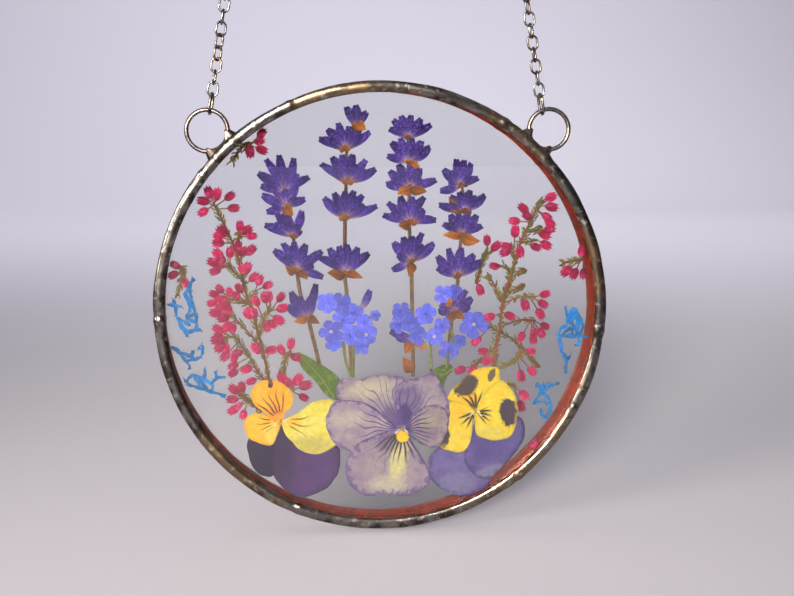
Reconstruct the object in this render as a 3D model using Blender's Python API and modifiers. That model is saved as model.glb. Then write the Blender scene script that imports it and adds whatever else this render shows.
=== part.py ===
"""Pressed flower suncatcher.

Two round glass panes hold pressed flowers. Copper foil wraps their edges, and a bead of solder
covers the foil. Two jump rings on the rim hang from two chain legs, each in its own S-hook.
Metres, +Z up, front towards -Y. The origin is the middle of the rail that the two hooks hang on.
"""
import math

import bmesh
import bpy
from mathutils import Matrix, Vector

MM = 0.001

# The panes and their rim
GLASS_RADIUS = 50.0 * MM
PANE_THICKNESS = 2.0 * MM
PRESSED_GAP = 1.5 * MM          # between the panes
RIM_STEPS = 36                  # sides of every round piece of the disc
SKIN_GAP = 0.1 * MM             # glass to foil, and foil to solder
FOIL_THICKNESS = 0.15 * MM
FOIL_FRONT_INNER = 48.95 * MM   # inner radius of the foil's front lip
FOIL_BACK_INNER = 48.2 * MM     # the foil laps further over the back pane
RIM_RADIUS = 51.5 * MM          # outside of the solder
RIM_BEAD = 0.65 * MM            # height of the solder above the foil's lips

# The jump rings, from the disc's centre
RING_WIRE = 0.5 * MM
RING_LEFT_RADIUS = 4.66 * MM
RING_RIGHT_RADIUS = 4.6 * MM
RING_LEFT_LEAN = math.radians(9.9)     # where the chain pulls on the ring, from its top
RING_RIGHT_LEAN = math.radians(-21.7)
RING_STEPS = 20
PIVOT_LEFT_X = -38.0 * MM
PIVOT_RIGHT_X = 36.3 * MM
PIVOT_HEIGHT = 45.1 * MM
WEB_FOOT = 3.9 * MM             # half widths of the solder web, at the rim and at the ring
WEB_TOP = 2.4 * MM
WEB_HALF_DEPTH = 0.6 * MM
WEB_REACH = 1.0 * MM            # height of the web above the rim's outside
RING_CLEARANCE = 0.06 * MM

# The chain legs
LEG_LEAN = math.radians(9.0)
LINK_WIRE = 0.23 * MM
LINK_LENGTH = 3.14 * MM         # between the middles of the wire at the two ends
LINK_WIDTH = 2.14 * MM
LINK_PITCH = 2.63 * MM
END_LINK_WIRE = 0.3 * MM
END_LINK_LENGTH = 4.55 * MM
END_LINK_WIDTH = 2.9 * MM
TOUCH_GAP = 0.12 * MM
END_LINK_TURN = math.radians(84.0)
LEFT_TURNS = (0, 85, 0, 54, 138, 206, 270, 360, 270, 180)
RIGHT_TURNS = (0, 88, 8, 66, 5, 60, 0, 60, 120, 180)

# The S-hooks
HOOK_WIRE = 0.5 * MM
HOOK_LOW_RADIUS = 2.0 * MM
HOOK_TOP_RADIUS = 4.0 * MM
HOOK_CURLS_APART = 8.0 * MM
HOOK_TIP_LOW = math.radians(150.0)
HOOK_TIP_TOP = math.radians(-25.0)

# The layers of the pressed flowers, from the front: the middle of each, and the most depth in one
LAYER_PITCH = 0.29 * MM
LAYER_DEPTH = 0.24 * MM
PETAL_DEPTH = 0.14 * MM         # of one viola petal
PETAL_STEP = 0.024 * MM         # from one viola petal to the next in front of it
FRONT_VIOLA, SIDE_VIOLAS, FORGET_ME_NOTS, LAVENDERS, HEATHERS = (
    (step - 2) * LAYER_PITCH for step in range(5)
)

# A pixel read from the reference photograph is carried to the glass along its sight line.
VIEW_FOCAL_PX = 1100.0
VIEW_MIDDLE_PX = (397.0, 298.0)
VIEW_TURN = math.radians(3.0)
VIEW_RISE = math.radians(9.0)
VIEW_DISTANCE = 253.0 * MM
VIEW_AIM = Vector((3.5 * MM, 0.0, 2.5 * MM))
PX = VIEW_DISTANCE / VIEW_FOCAL_PX     # one pixel on the glass

# Where the hooks' upper curls are the origin, this is how far down the disc's centre lies.
CHAIN_START = END_LINK_LENGTH - RING_WIRE - 2 * END_LINK_WIRE - LINK_WIRE - 2 * TOUCH_GAP
CHAIN_TOP = CHAIN_START + (len(LEFT_TURNS) - 1) * LINK_PITCH + LINK_LENGTH
HOOK_LOW_ALONG = CHAIN_TOP - LINK_WIRE - HOOK_WIRE - TOUCH_GAP + HOOK_LOW_RADIUS
DISC_Z = -(PIVOT_HEIGHT + HOOK_LOW_ALONG * math.cos(LEG_LEAN) + HOOK_CURLS_APART)
DISC_CENTRE = Vector((0.0, 0.0, DISC_Z))

# Places on the photograph, in its pixels. A lavender whorl is its base and the tips of its calyces;
# a heather bell is its middle and the point of the stem that it grows from.
LAVENDERS_PX = {
    "lavender_left": {
        "stem": ((284, 188), (290, 214), (294, 242), (297, 271), (301, 296), (309, 322), (320, 366)),
        "whorls": (
            ((285, 192), ((266, 159), (279, 155), (294, 158), (309, 177), (258, 173), (261, 186))),
            ((287, 206), ((262, 195), (267, 212), (271, 181), (296, 181), (305, 199))),
            ((293, 236), ((265, 225), (277, 214), (284, 213), (302, 211), (301, 230))),
            ((297, 270), ((274, 250), (283, 243), (294, 242), (306, 244), (322, 251), (323, 277))),
            ((307, 318), ((288, 306), (291, 292), (300, 296), (311, 296), (316, 284))),
        ),
    },
    "lavender_middle_left": {
        "stem": ((355, 122), (347, 150), (346, 184), (345, 220), (345, 275), (347, 298), (352, 376)),
        "whorls": (
            ((355, 126), ((346, 107), (356, 105), (367, 112))),
            ((346, 149), ((319, 139), (327, 129), (338, 123), (349, 126), (361, 123), (370, 132))),
            ((346, 182), ((321, 164), (332, 157), (342, 155), (353, 154), (366, 160), (376, 169))),
            ((345, 218), ((324, 198), (334, 193), (345, 191), (354, 191), (363, 195), (377, 206))),
            ((345, 273), ((319, 257), (329, 248), (339, 246), (347, 244), (358, 247), (369, 253))),
        ),
    },
    "lavender_middle_right": {
        "stem": ((408, 130), (408, 160), (409, 190), (409, 222), (411, 260), (412, 300), (413, 376)),
        "whorls": (
            ((408, 137), ((389, 129), (393, 120), (401, 116), (411, 115), (421, 119), (431, 125))),
            ((408, 162), ((387, 156), (391, 142), (400, 138), (412, 138), (422, 141), (430, 147))),
            ((410, 187), ((386, 184), (389, 171), (398, 164), (410, 162), (420, 168), (436, 180))),
            ((409, 222), ((383, 215), (388, 203), (400, 196), (412, 196), (424, 197), (436, 220))),
            ((411, 261), ((393, 242), (403, 237), (412, 236), (422, 233), (434, 243), (392, 270))),
            ((414, 339), ((390, 331), (396, 337))),
        ),
    },
    "lavender_right": {
        "stem": ((459, 176), (465, 205), (461, 234), (458, 276), (457, 286), (453, 306), (451, 326),
                 (447, 364)),
        "whorls": (
            ((460, 186), ((443, 169), (456, 159), (464, 160), (471, 163), (478, 178), (440, 191))),
            ((465, 210), ((439, 205), (450, 196), (459, 192), (470, 190), (477, 196), (485, 195))),
            ((461, 234), ((443, 224), (450, 214), (458, 213), (468, 214), (477, 215), (482, 226))),
            ((457, 276), ((437, 268), (437, 256), (448, 248), (461, 247), (474, 254), (481, 261))),
            ((454, 310), ((440, 304), (438, 311), (472, 298), (470, 306), (466, 290))),
        ),
    },
}
LAVENDER_BUD_PX = ((360.5, 310), (370, 290))

# Each viola petal is its outline; the first point is next to the flower's eye.
VIOLAS_PX = {
    "viola_left": (
        ((281, 428), (262, 432), (248, 439), (249, 454), (252, 464), (258, 472), (266, 475), (275, 473),
         (282, 456)),
        ((281, 428), (273, 452), (274, 474), (281, 484), (288, 490), (298, 496), (308, 495), (322, 490),
         (332, 481), (338, 472), (340, 459), (336, 444), (300, 436)),
        ((281, 421), (272, 416), (264, 413), (254, 413), (247, 416), (244, 422), (245, 430), (249, 437),
         (257, 441), (266, 444), (273, 443), (277, 435), (280, 427)),
        ((281, 424), (272, 419), (264, 411), (256, 405), (252, 398), (251, 392), (254, 386), (261, 380),
         (268, 379), (271, 383), (274, 379), (280, 381), (288, 387), (293, 394), (293, 401), (290, 408),
         (285, 412)),
        ((282, 421), (290, 416), (299, 411), (311, 402), (322, 399), (332, 399), (339, 408), (341, 422),
         (340, 437), (336, 444), (326, 450), (317, 453), (309, 452), (299, 448), (292, 440), (286, 434)),
    ),
    "viola_centre": (
        ((401, 421), (375, 408), (350, 402), (337, 396), (338, 382), (344, 377), (356, 379), (368, 376),
         (382, 374), (397, 375), (405, 379), (408, 396)),
        ((404, 421), (396, 403), (394, 392), (399, 382), (408, 379), (421, 375), (432, 372), (438, 377),
         (443, 387), (447, 398), (449, 408), (447, 418), (430, 424)),
        ((394, 424), (372, 405), (352, 399), (336, 400), (330, 406), (326, 417), (327, 427), (331, 437),
         (337, 444), (350, 450), (360, 444), (374, 438), (392, 433)),
        ((409, 428), (414, 414), (422, 406), (433, 404), (444, 407), (448, 417), (447, 429), (441, 442),
         (432, 446), (421, 443), (414, 437)),
        ((400, 426), (385, 430), (372, 435), (357, 443), (348, 456), (345, 467), (347, 479), (356, 489),
         (368, 494), (387, 492), (404, 494), (420, 489), (429, 480), (430, 472), (424, 460), (414, 444),
         (408, 434)),
    ),
    "viola_right": (
        ((472, 428), (452, 436), (438, 446), (429, 456), (429, 467), (431, 478), (440, 487), (452, 493),
         (463, 495), (477, 491), (490, 481), (484, 455)),
        ((472, 428), (464, 452), (466, 464), (474, 474), (486, 478), (498, 470), (512, 454), (522, 440),
         (524, 428), (517, 415), (492, 424)),
        ((474, 411), (449, 399), (449, 393), (455, 385), (466, 375), (477, 368), (489, 366), (497, 367),
         (499, 372), (498, 384), (486, 396)),
        ((476, 409), (484, 391), (499, 380), (507, 384), (514, 392), (516, 401), (517, 413), (514, 428),
         (508, 436), (496, 439), (483, 437), (475, 431)),
        ((474, 411), (452, 400), (443, 412), (438, 430), (439, 445), (451, 450), (461, 451), (466, 447),
         (470, 439), (472, 426)),
    ),
}

# Forget-me-not flowers are their middle and radius; stems are their points.
FORGET_ME_NOTS_PX = {
    "forget_me_not_left": {
        "flowers": ((327, 303, 11), (341, 303, 12), (354, 313, 11), (343, 320, 11), (364, 322, 9),
                    (350, 334, 11), (331, 331, 12), (366, 334, 12), (361, 346, 9), (375, 315, 6),
                    (334, 343, 9)),
        "stems": (((343, 340), (346, 362), (351, 376)), ((354, 345), (353, 377)), ((364, 320), (375, 315))),
    },
    "forget_me_not_middle": {
        "flowers": ((401, 311, 10), (399, 324, 10), (412, 322, 10), (426, 314, 11), (418, 335, 10),
                    (442, 325, 9), (434, 336, 9)),
        "stems": (((430, 336), (431, 371)),),
    },
    "forget_me_not_upper": {"flowers": ((443, 294, 10), (455, 292, 8)), "stems": ()},
    "forget_me_not_single": {"flowers": ((473.5, 324, 15),), "stems": ()},
    "forget_me_not_lower": {
        "flowers": ((448, 350, 11), (459, 341, 8)),
        "stems": (((448, 350), (446, 368)), ((455, 345), (451, 330))),
    },
}

HEATHERS_PX = {
    "heather_left": {
        "stems": (
            ((213, 202), (219, 214), (226, 228), (233, 244), (238, 258), (242, 272), (245, 289),
             (250, 305), (255, 321), (260, 340), (266, 364), (270, 384)),
            ((234, 249), (238, 238), (240, 231)),
            ((227, 265), (234, 272), (243, 280)),
            ((225, 297), (240, 301), (248, 304)),
            ((231, 314), (242, 326), (256, 341), (262, 352)),
            ((223, 339), (235, 337), (243, 348), (251, 359), (258, 372), (268, 384)),
            ((270, 309), (264, 318), (260, 334)),
            ((248, 304), (256, 290)),
        ),
        "bells": (
            (203, 201, 211, 202), (209, 192, 213, 201), (203, 212, 214, 205), (217, 194, 215, 203),
            (230, 196, 216, 206), (234, 208, 217, 209), (222, 231, 229, 238), (218, 236, 230, 240),
            (218, 243, 231, 243), (240, 226, 240, 233), (247, 230, 240, 234), (252, 236, 239, 237),
            (238, 246, 236, 256), (251, 250, 240, 260), (218, 254, 230, 267), 
            (213, 262, 229, 266), (221, 258, 230, 267), (215, 271, 228, 266), (247, 268, 243, 275),
            (254, 277, 246, 284), (268, 285, 255, 291), (239, 288, 248, 302), (214, 294, 228, 298),
            (221, 299, 234, 300), (230, 292, 236, 301), (212, 303, 227, 298), (220, 308, 230, 300),
            (215, 313, 232, 315), (223, 318, 234, 316), (218, 329, 231, 337),
            (227, 327, 236, 319), (217, 340, 226, 339), (220, 347, 228, 339), (225, 356, 238, 342),
            (233, 366, 249, 357), (237, 353, 245, 351), (233, 373, 252, 361), (246, 369, 255, 366),
            (251, 381, 262, 377), (256, 301, 263, 318), (265, 297, 268, 311), (281, 297, 271, 310),
            (283, 308, 270, 311), (279, 320, 267, 313), (272, 324, 263, 320), (248, 314, 256, 322),
            (271, 350, 262, 352), (256, 348, 263, 356),
        ),
    },
    "heather_low_left": {
        "stems": (((262, 412), (251, 403), (244, 396), (238, 395)),),
        "bells": ((234, 389, 243, 396), (232, 399, 246, 398), (233, 410, 248, 401)),
    },
    "heather_low_middle": {
        "stems": (((283, 372), (286, 358), (291, 350)), ((283, 372), (285, 381), (294, 391))),
        "bells": ((291, 343, 289, 353), (281, 349, 286, 358), (296, 357, 288, 354), (282, 378, 287, 387),
                  (289, 382, 292, 390), (298, 379, 292, 388), (306, 385, 292, 390), (304, 397, 293, 391)),
    },
    "heather_right": {
        "stems": (
            ((542, 200), (537, 206), (532, 219), (525, 232), (520, 244), (516, 259), (511, 274),
             (507, 288), (503, 300), (500, 326), (497, 340), (495, 358), (495, 368)),
            ((513, 245), (514, 260)), ((525, 232), (536, 231), (542, 226)), ((521, 243), (538, 240)),
            ((503, 265), (512, 275)), ((486, 275), (492, 281), (499, 295), (502, 302)),
            ((509, 279), (520, 272), (527, 270)), ((507, 293), (518, 288), (525, 284)),
            ((502, 304), (520, 297), (536, 297)), ((500, 327), (520, 320), (536, 321)),
            ((490, 326), (497, 331), (511, 338), (523, 349), (532, 360), (540, 367)),
            ((496, 368), (508, 364), (517, 358), (522, 350)),
            ((496, 345), (487, 356), (479, 362), (471, 366)),
        ),
        "bells": (
            (551, 197, 541, 201), (552, 207, 538, 205), (547, 217, 536, 209), (550, 223, 537, 210),
            (523, 208, 533, 216), (527, 216, 532, 219), (514, 221, 530, 222), (515, 231, 514, 246),
            (550, 229, 538, 230), (545, 235, 534, 231), (546, 245, 537, 240), (536, 247, 525, 243),
            (505, 252, 514, 248), (520, 252, 519, 243), (494, 266, 507, 268), (525, 305, 522, 296),
            (545, 294, 534, 297), (543, 304, 532, 297), (540, 314, 530, 297), (489, 317, 500, 314),
            (510, 316, 502, 312), (545, 326, 534, 321), (541, 333, 533, 321), (533, 339, 531, 321),
            (521, 337, 530, 321), (531, 351, 521, 350), (532, 371, 519, 357), (521, 376, 517, 358),
            (483, 351, 491, 351), (460, 370, 474, 365), (476, 341, 490, 327), (487, 361, 494, 358),
            (472, 371, 480, 361),
        ),
    },
    "heather_shoot": {
        "stems": (((488, 252), (485, 256), (481, 266), (476, 284)),),
        "bells": ((487, 240, 488, 254), (496, 246, 487, 254), (480, 290, 477, 281)),
    },
    "heather_low_right": {
        "stems": (((508, 383), (516, 387)),),
        "bells": ((524, 395, 514, 386), (521, 406, 514, 387)),
    },
    "heather_top_left": {
        "stems": (((232, 162), (241, 148), (252, 143)),),
        "bells": ((262, 133, 251, 144), (260, 141, 250, 144), (250, 152, 249, 143), (262, 150, 248, 144)),
    },
    "heather_left_edge": {
        "stems": (((178, 296), (181, 281), (183, 269), (178, 268)),),
        "bells": ((175, 265, 183, 269), (173, 275, 183, 270), (186, 283, 183, 272)),
    },
    "heather_right_edge": {
        "stems": (((562, 263), (572, 261), (584, 259)),),
        "bells": ((566, 271, 577, 262), (574, 274, 580, 261), (583, 274, 583, 261), (581, 251, 580, 259)),
    },
}
HEATHER_BELL_PX = ((529, 449), (538, 440))

LEAVES_PX = {
    "leaf_left": ((297, 352), (317, 362), (339, 378), (341, 399), (327, 396), (315, 381), (302, 368)),
    "leaf_right": ((432, 373), (440, 366), (448, 364), (452, 366), (452, 371), (447, 377), (443, 388),
                   (440, 388)),
}

LICHENS_PX = {
    "lichen_left_high": (
        ((194, 278), (190, 287), (192, 301), (196, 314), (197, 324)), ((185, 292), (190, 307), (186, 318)),
        ((168, 305), (175, 306), (178, 319), (187, 331), (198, 329), (201, 329)), ((189, 290), (185, 294)),
        ((175, 306), (174, 299)), ((186, 318), (195, 313)), ((187, 318), (197, 324), (195, 331)),
        ((185, 330), (188, 336)), ((178, 318), (191, 325)), ((174, 305), (182, 307)),
    ),
    "lichen_left_middle": (
        ((172, 346), (179, 352), (189, 364), (190, 369)), ((178, 352), (191, 355), (193, 350)),
        ((187, 361), (200, 357), (203, 350), (202, 345)), ((191, 355), (194, 359)), ((203, 350), (198, 348)),
    ),
    "lichen_left_low": (
        ((226, 396), (211, 391), (200, 388), (188, 384)), ((201, 388), (193, 375), (188, 380)),
        ((211, 391), (212, 384), (193, 374)), ((211, 384), (217, 378), (226, 377)), ((217, 378), (216, 371)),
        ((204, 379), (205, 368)), ((206, 389), (198, 376)), ((189, 385), (185, 379)),
    ),
    "lichen_right_high": (
        ((565, 373), (566, 361), (561, 350), (559, 338), (560, 329), (567, 323), (565, 306)),
        ((567, 323), (572, 309), (578, 314), (583, 327)), ((560, 335), (578, 336), (588, 336)),
        ((568, 320), (576, 330), (577, 336)), ((578, 336), (579, 343), (574, 345)), ((566, 361), (570, 355)),
        ((562, 334), (570, 328), (573, 336)), ((570, 315), (580, 321)), ((575, 311), (570, 324)),
        ((578, 315), (576, 332)), ((583, 327), (578, 336)),
    ),
    "lichen_right_low": (
        ((533, 404), (541, 393), (550, 401), (550, 409), (546, 417), (541, 414), (540, 408)),
        ((536, 401), (550, 403)), ((543, 395), (538, 384), (535, 387)), ((543, 395), (548, 382)),
        ((541, 392), (544, 384)), ((547, 386), (553, 384), (559, 382)),
    ),
}
BUD_WIDTH_PX = 7.5
BELL_LENGTH_PX = 12.0
BELL_WIDTH_PX = 8.0
BELL_ROOT_PX = 3.0               # how far a bell's stalk runs on into its stem
STEM_WIDTH_PX = 3.0
LICHEN_WIDTH_PX = 2.4

COLOURS = {
    "glass": ((0.93, 0.96, 0.97), 0.02, 0.0),
    "copper foil": ((0.38, 0.09, 0.03), 0.4, 1.0),
    "solder": ((0.30, 0.28, 0.27), 0.35, 1.0),
    "dark chain metal": ((0.22, 0.20, 0.20), 0.35, 1.0),
    "purple petal": ((0.16, 0.09, 0.24), 0.7, 0.0),
    "grey violet petal": ((0.36, 0.27, 0.40), 0.7, 0.0),
    "blue violet petal": ((0.25, 0.20, 0.42), 0.7, 0.0),
    "lavender": ((0.10, 0.05, 0.22), 0.8, 0.0),
    "forget-me-not blue": ((0.14, 0.18, 0.72), 0.7, 0.0),
    "heather pink": ((0.60, 0.01, 0.10), 0.7, 0.0),
    "green leaf": ((0.08, 0.14, 0.02), 0.7, 0.0),
    "blue lichen": ((0.01, 0.24, 0.70), 0.7, 0.0),
}


def clear_scene():
    """Remove every object that the start-up scene holds."""
    for item in list(bpy.data.objects):
        bpy.data.objects.remove(item, do_unlink=True)


def new_collection(name):
    """Return a collection of this name, linked to the scene."""
    collection = bpy.data.collections.new(name)
    bpy.context.scene.collection.children.link(collection)
    return collection


def make_material(name):
    """Return the Principled material of one of COLOURS."""
    material = bpy.data.materials.get(name)
    if material:
        return material
    colour, roughness, metallic = COLOURS[name]
    material = bpy.data.materials.new(name)
    material.use_nodes = True
    shader = material.node_tree.nodes["Principled BSDF"]
    shader.inputs["Base Color"].default_value = (*colour, 1.0)
    shader.inputs["Roughness"].default_value = roughness
    shader.inputs["Metallic"].default_value = metallic
    if name == "glass":
        shader.inputs["Transmission Weight"].default_value = 1.0
    return material


def add_object(name, mesh, material, collection):
    """Link a new object with this mesh and material into a collection."""
    item = bpy.data.objects.new(name, mesh)
    collection.objects.link(item)
    if material:
        mesh.materials.clear()
        mesh.materials.append(make_material(material))
    return item


def baked_mesh(item, weld=1e-6):
    """Return the evaluated mesh of an object, in world space, with its doubles merged."""
    bpy.context.view_layer.update()
    evaluated = item.evaluated_get(bpy.context.evaluated_depsgraph_get())
    mesh = bpy.data.meshes.new_from_object(evaluated)
    mesh.transform(item.matrix_world)
    shape = bmesh.new()
    shape.from_mesh(mesh)
    bmesh.ops.remove_doubles(shape, verts=shape.verts, dist=weld)
    shape.to_mesh(mesh)
    shape.free()
    return mesh


def combined(first, others, operation, cutters):
    """Join or cut one object with others by exact Booleans and return the result's mesh."""
    for number, other in enumerate(others):
        modifier = first.modifiers.new(f"{operation.lower()} {number}", "BOOLEAN")
        modifier.operation = operation
        modifier.solver = "EXACT"
        modifier.object = other
    mesh = baked_mesh(first)
    for item in (first, *others):
        bpy.data.objects.remove(item, do_unlink=True)
    return mesh


def turned(name, profile, material, collection):
    """Turn a closed profile of (radius, y) points about the disc's axis."""
    mesh = bpy.data.meshes.new(name)
    shape = bmesh.new()
    verts = [shape.verts.new((radius, 0.0, y)) for radius, y in profile]
    for start, end in zip(verts, verts[1:] + verts[:1]):
        shape.edges.new((start, end))
    shape.to_mesh(mesh)
    shape.free()
    item = add_object(name, mesh, material, collection)
    screw = item.modifiers.new("turn", "SCREW")
    screw.axis = "Z"
    screw.steps = RIM_STEPS
    screw.render_steps = RIM_STEPS
    screw.use_merge_vertices = True
    screw.merge_threshold = 1e-5
    item.matrix_world = Matrix.Translation(DISC_CENTRE) @ Matrix.Rotation(math.radians(-90), 4, "X")
    return item


def pane(name, side, material, collection):
    """One glass pane: a round slab on the front (side -1) or the back (side 1) of the flowers."""
    mesh = bpy.data.meshes.new(name)
    shape = bmesh.new()
    bmesh.ops.create_cone(shape, cap_ends=True, segments=RIM_STEPS, radius1=GLASS_RADIUS,
                          radius2=GLASS_RADIUS, depth=PANE_THICKNESS)
    shape.to_mesh(mesh)
    shape.free()
    item = add_object(name, mesh, material, collection)
    middle = DISC_CENTRE + Vector((0.0, side * (PRESSED_GAP + PANE_THICKNESS) / 2, 0.0))
    item.matrix_world = Matrix.Translation(middle) @ Matrix.Rotation(math.radians(-90), 4, "X")
    return item


def foil_profile():
    """The channel of foil round both panes, as (radius, y) points, from the front lip round."""
    face = PRESSED_GAP / 2 + PANE_THICKNESS + SKIN_GAP
    outer = face + FOIL_THICKNESS
    web = GLASS_RADIUS + SKIN_GAP
    return [
        (FOIL_FRONT_INNER, -face), (web, -face), (web, face), (FOIL_BACK_INNER, face),
        (FOIL_BACK_INNER, outer), (web + FOIL_THICKNESS, outer), (web + FOIL_THICKNESS, -outer),
        (FOIL_FRONT_INNER, -outer),
    ]


def rim_profile():
    """The solder bead round the foil: flat inside, rounded outside."""
    inside = PRESSED_GAP / 2 + PANE_THICKNESS + FOIL_THICKNESS + 2 * SKIN_GAP
    top = inside + RIM_BEAD
    seat = GLASS_RADIUS + FOIL_THICKNESS + 2 * SKIN_GAP
    front, back = FOIL_FRONT_INNER, FOIL_BACK_INNER
    flat = RIM_RADIUS - 0.8 * MM
    return [
        (front, -inside), (seat, -inside), (seat, inside), (back, inside), (back + 0.5 * MM, top),
        (flat, top), (RIM_RADIUS, inside - 0.8 * MM), (RIM_RADIUS, 0.8 * MM - inside), (flat, -top),
        (front + 0.4 * MM, -top),
    ]


def wire_loop(name, points, wire, sides, material, collection, closed=True):
    """A wire along points: a POLY curve with a round bevel, made a mesh."""
    curve = bpy.data.curves.new(name, "CURVE")
    curve.dimensions = "3D"
    curve.bevel_depth = wire
    curve.bevel_resolution = sides
    curve.use_fill_caps = not closed
    spline = curve.splines.new("POLY")
    spline.points.add(len(points) - 1)
    for point, place in zip(spline.points, points):
        point.co = (*place, 1.0)
    spline.use_cyclic_u = closed
    guide = bpy.data.objects.new(name + " guide", curve)
    collection.objects.link(guide)
    mesh = baked_mesh(guide)
    bpy.data.objects.remove(guide, do_unlink=True)
    return add_object(name, mesh, material, collection)


def ring_centre(side):
    """Centre of a jump ring, so that the chain's pull point is on its wire."""
    if side < 0:
        pivot, radius, lean = PIVOT_LEFT_X, RING_LEFT_RADIUS, RING_LEFT_LEAN
    else:
        pivot, radius, lean = PIVOT_RIGHT_X, RING_RIGHT_RADIUS, RING_RIGHT_LEAN
    offset = Vector((math.sin(lean), 0.0, math.cos(lean))) * radius
    return DISC_CENTRE + Vector((pivot, 0.0, PIVOT_HEIGHT)) - offset, radius


def jump_ring(name, side, wire, material, collection):
    """A closed ring of round wire in the disc's plane."""
    centre, radius = ring_centre(side)
    points = []
    for step in range(RING_STEPS):
        angle = 2 * math.pi * step / RING_STEPS
        points.append(centre + Vector((math.cos(angle), 0.0, math.sin(angle))) * radius)
    return wire_loop(name, points, wire, 1, material, collection)


def solder_web(side, cutters):
    """The wedge of solder that stands on the rim under a jump ring."""
    centre, _ = ring_centre(side)
    outward = (centre - DISC_CENTRE).normalized()
    across = Vector((outward.z, 0.0, -outward.x))
    foot = DISC_CENTRE + outward * (RIM_RADIUS - 0.7 * MM)
    top = DISC_CENTRE + outward * (RIM_RADIUS + WEB_REACH)
    corners = (foot - across * WEB_FOOT, foot + across * WEB_FOOT, top + across * WEB_TOP,
               top - across * WEB_TOP)
    shape = bmesh.new()
    face = shape.faces.new([shape.verts.new(point - Vector((0.0, WEB_HALF_DEPTH, 0.0))) for point in corners])
    grown = bmesh.ops.extrude_face_region(shape, geom=[face])
    moved = [item for item in grown["geom"] if isinstance(item, bmesh.types.BMVert)]
    bmesh.ops.translate(shape, verts=moved, vec=(0.0, 2 * WEB_HALF_DEPTH, 0.0))
    bmesh.ops.recalc_face_normals(shape, faces=shape.faces)
    mesh = bpy.data.meshes.new("solder web")
    shape.to_mesh(mesh)
    shape.free()
    return add_object("solder web", mesh, None, cutters)


def solder_rim(collection, cutters):
    """The solder bead with its two webs, grooved where the jump rings lie in it."""
    bead = turned("solder bead", rim_profile(), "solder", cutters)
    bead_mesh = baked_mesh(bead)
    bpy.data.objects.remove(bead, do_unlink=True)
    whole = add_object("solder bead", bead_mesh, "solder", cutters)
    joined = combined(whole, [solder_web(-1, cutters), solder_web(1, cutters)], "UNION", cutters)
    whole = add_object("solder bead", joined, "solder", cutters)
    grooves = [jump_ring("groove", side, RING_WIRE + RING_CLEARANCE, None, cutters) for side in (-1, 1)]
    mesh = combined(whole, grooves, "DIFFERENCE", cutters)
    return add_object("solder_rim", mesh, "solder", collection)


def leg_frame(side):
    """The pull point of one chain leg, and its directions: along the leg, and across in the disc's plane."""
    pivot = PIVOT_LEFT_X if side < 0 else PIVOT_RIGHT_X
    start = DISC_CENTRE + Vector((pivot, 0.0, PIVOT_HEIGHT))
    along = Vector((-side * math.sin(LEG_LEAN), 0.0, math.cos(LEG_LEAN)))
    across = Vector((along.z, 0.0, -along.x))
    return start, along, across


def chain_link(name, side, low, length, width, wire, turn, collection):
    """An eight-cornered oval of wire that starts `low` along the leg, turned about the leg."""
    start, along, across = leg_frame(side)
    flat = across * math.cos(turn) + Vector((0.0, 1.0, 0.0)) * math.sin(turn)
    middle = start + along * (low + length / 2)
    corner = 0.42 * width / 2
    shoulder = length / 2 - 0.58 * width / 2
    quarter = ((corner, length / 2), (width / 2, shoulder), (width / 2, -shoulder), (corner, -length / 2))
    points = [middle + flat * x + along * y for x, y in quarter]
    points += [middle - flat * x + along * y for x, y in quarter[::-1]]
    sides = 0 if wire < END_LINK_WIRE else 1
    return wire_loop(name, points, wire, sides, "dark chain metal", collection)


def chain_leg(label, side, turns, collection):
    """One leg: the end link through the jump ring, and the small links above it."""
    low = -(RING_WIRE + TOUCH_GAP + END_LINK_WIRE)
    chain_link(f"end_link_{label}", side, low, END_LINK_LENGTH, END_LINK_WIDTH, END_LINK_WIRE,
               -side * END_LINK_TURN, collection)
    for number, turn in enumerate(turns):
        chain_link(f"chain_link_{label}_{number + 1:02d}", side, CHAIN_START + number * LINK_PITCH,
                   LINK_LENGTH, LINK_WIDTH, LINK_WIRE, math.radians(turn), collection)


def hook(label, side, collection):
    """An S-hook: its small curl holds the top link, its large curl goes over a rail or nail."""
    start, along, _ = leg_frame(side)
    low = start + along * HOOK_LOW_ALONG
    top = low + Vector((0.0, 0.0, HOOK_CURLS_APART))
    points = []
    for step in range(8):
        angle = HOOK_TIP_LOW + (2 * math.pi - HOOK_TIP_LOW) * step / 7
        points.append(low + Vector((0.0, math.cos(angle), math.sin(angle))) * HOOK_LOW_RADIUS)
    shank_start = low + Vector((0.0, HOOK_LOW_RADIUS, 0.0))
    shank_end = top + Vector((0.0, -HOOK_TOP_RADIUS, 0.0))
    for step in range(1, 4):
        share = step / 4
        eased = share * share * (3 - 2 * share)
        height = shank_start.z + (shank_end.z - shank_start.z) * share
        depth = shank_start.y + (shank_end.y - shank_start.y) * eased
        points.append(Vector((low.x, depth, height)))
    for step in range(10):
        angle = math.pi + (HOOK_TIP_TOP - math.pi) * step / 9
        points.append(top + Vector((0.0, math.cos(angle), math.sin(angle))) * HOOK_TOP_RADIUS)
    return wire_loop(f"hook_{label}", points, HOOK_WIRE, 1, "dark chain metal", collection, closed=False)


def sight_axes():
    """The photograph's eye, from the disc's centre, and its forward, right and up directions."""
    eye = VIEW_DISTANCE * Vector((-math.sin(VIEW_TURN) * math.cos(VIEW_RISE),
                                  -math.cos(VIEW_TURN) * math.cos(VIEW_RISE), math.sin(VIEW_RISE)))
    forward = (VIEW_AIM - eye).normalized()
    right = forward.cross(Vector((0.0, 0.0, 1.0))).normalized()
    return eye, forward, right, right.cross(forward)


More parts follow.
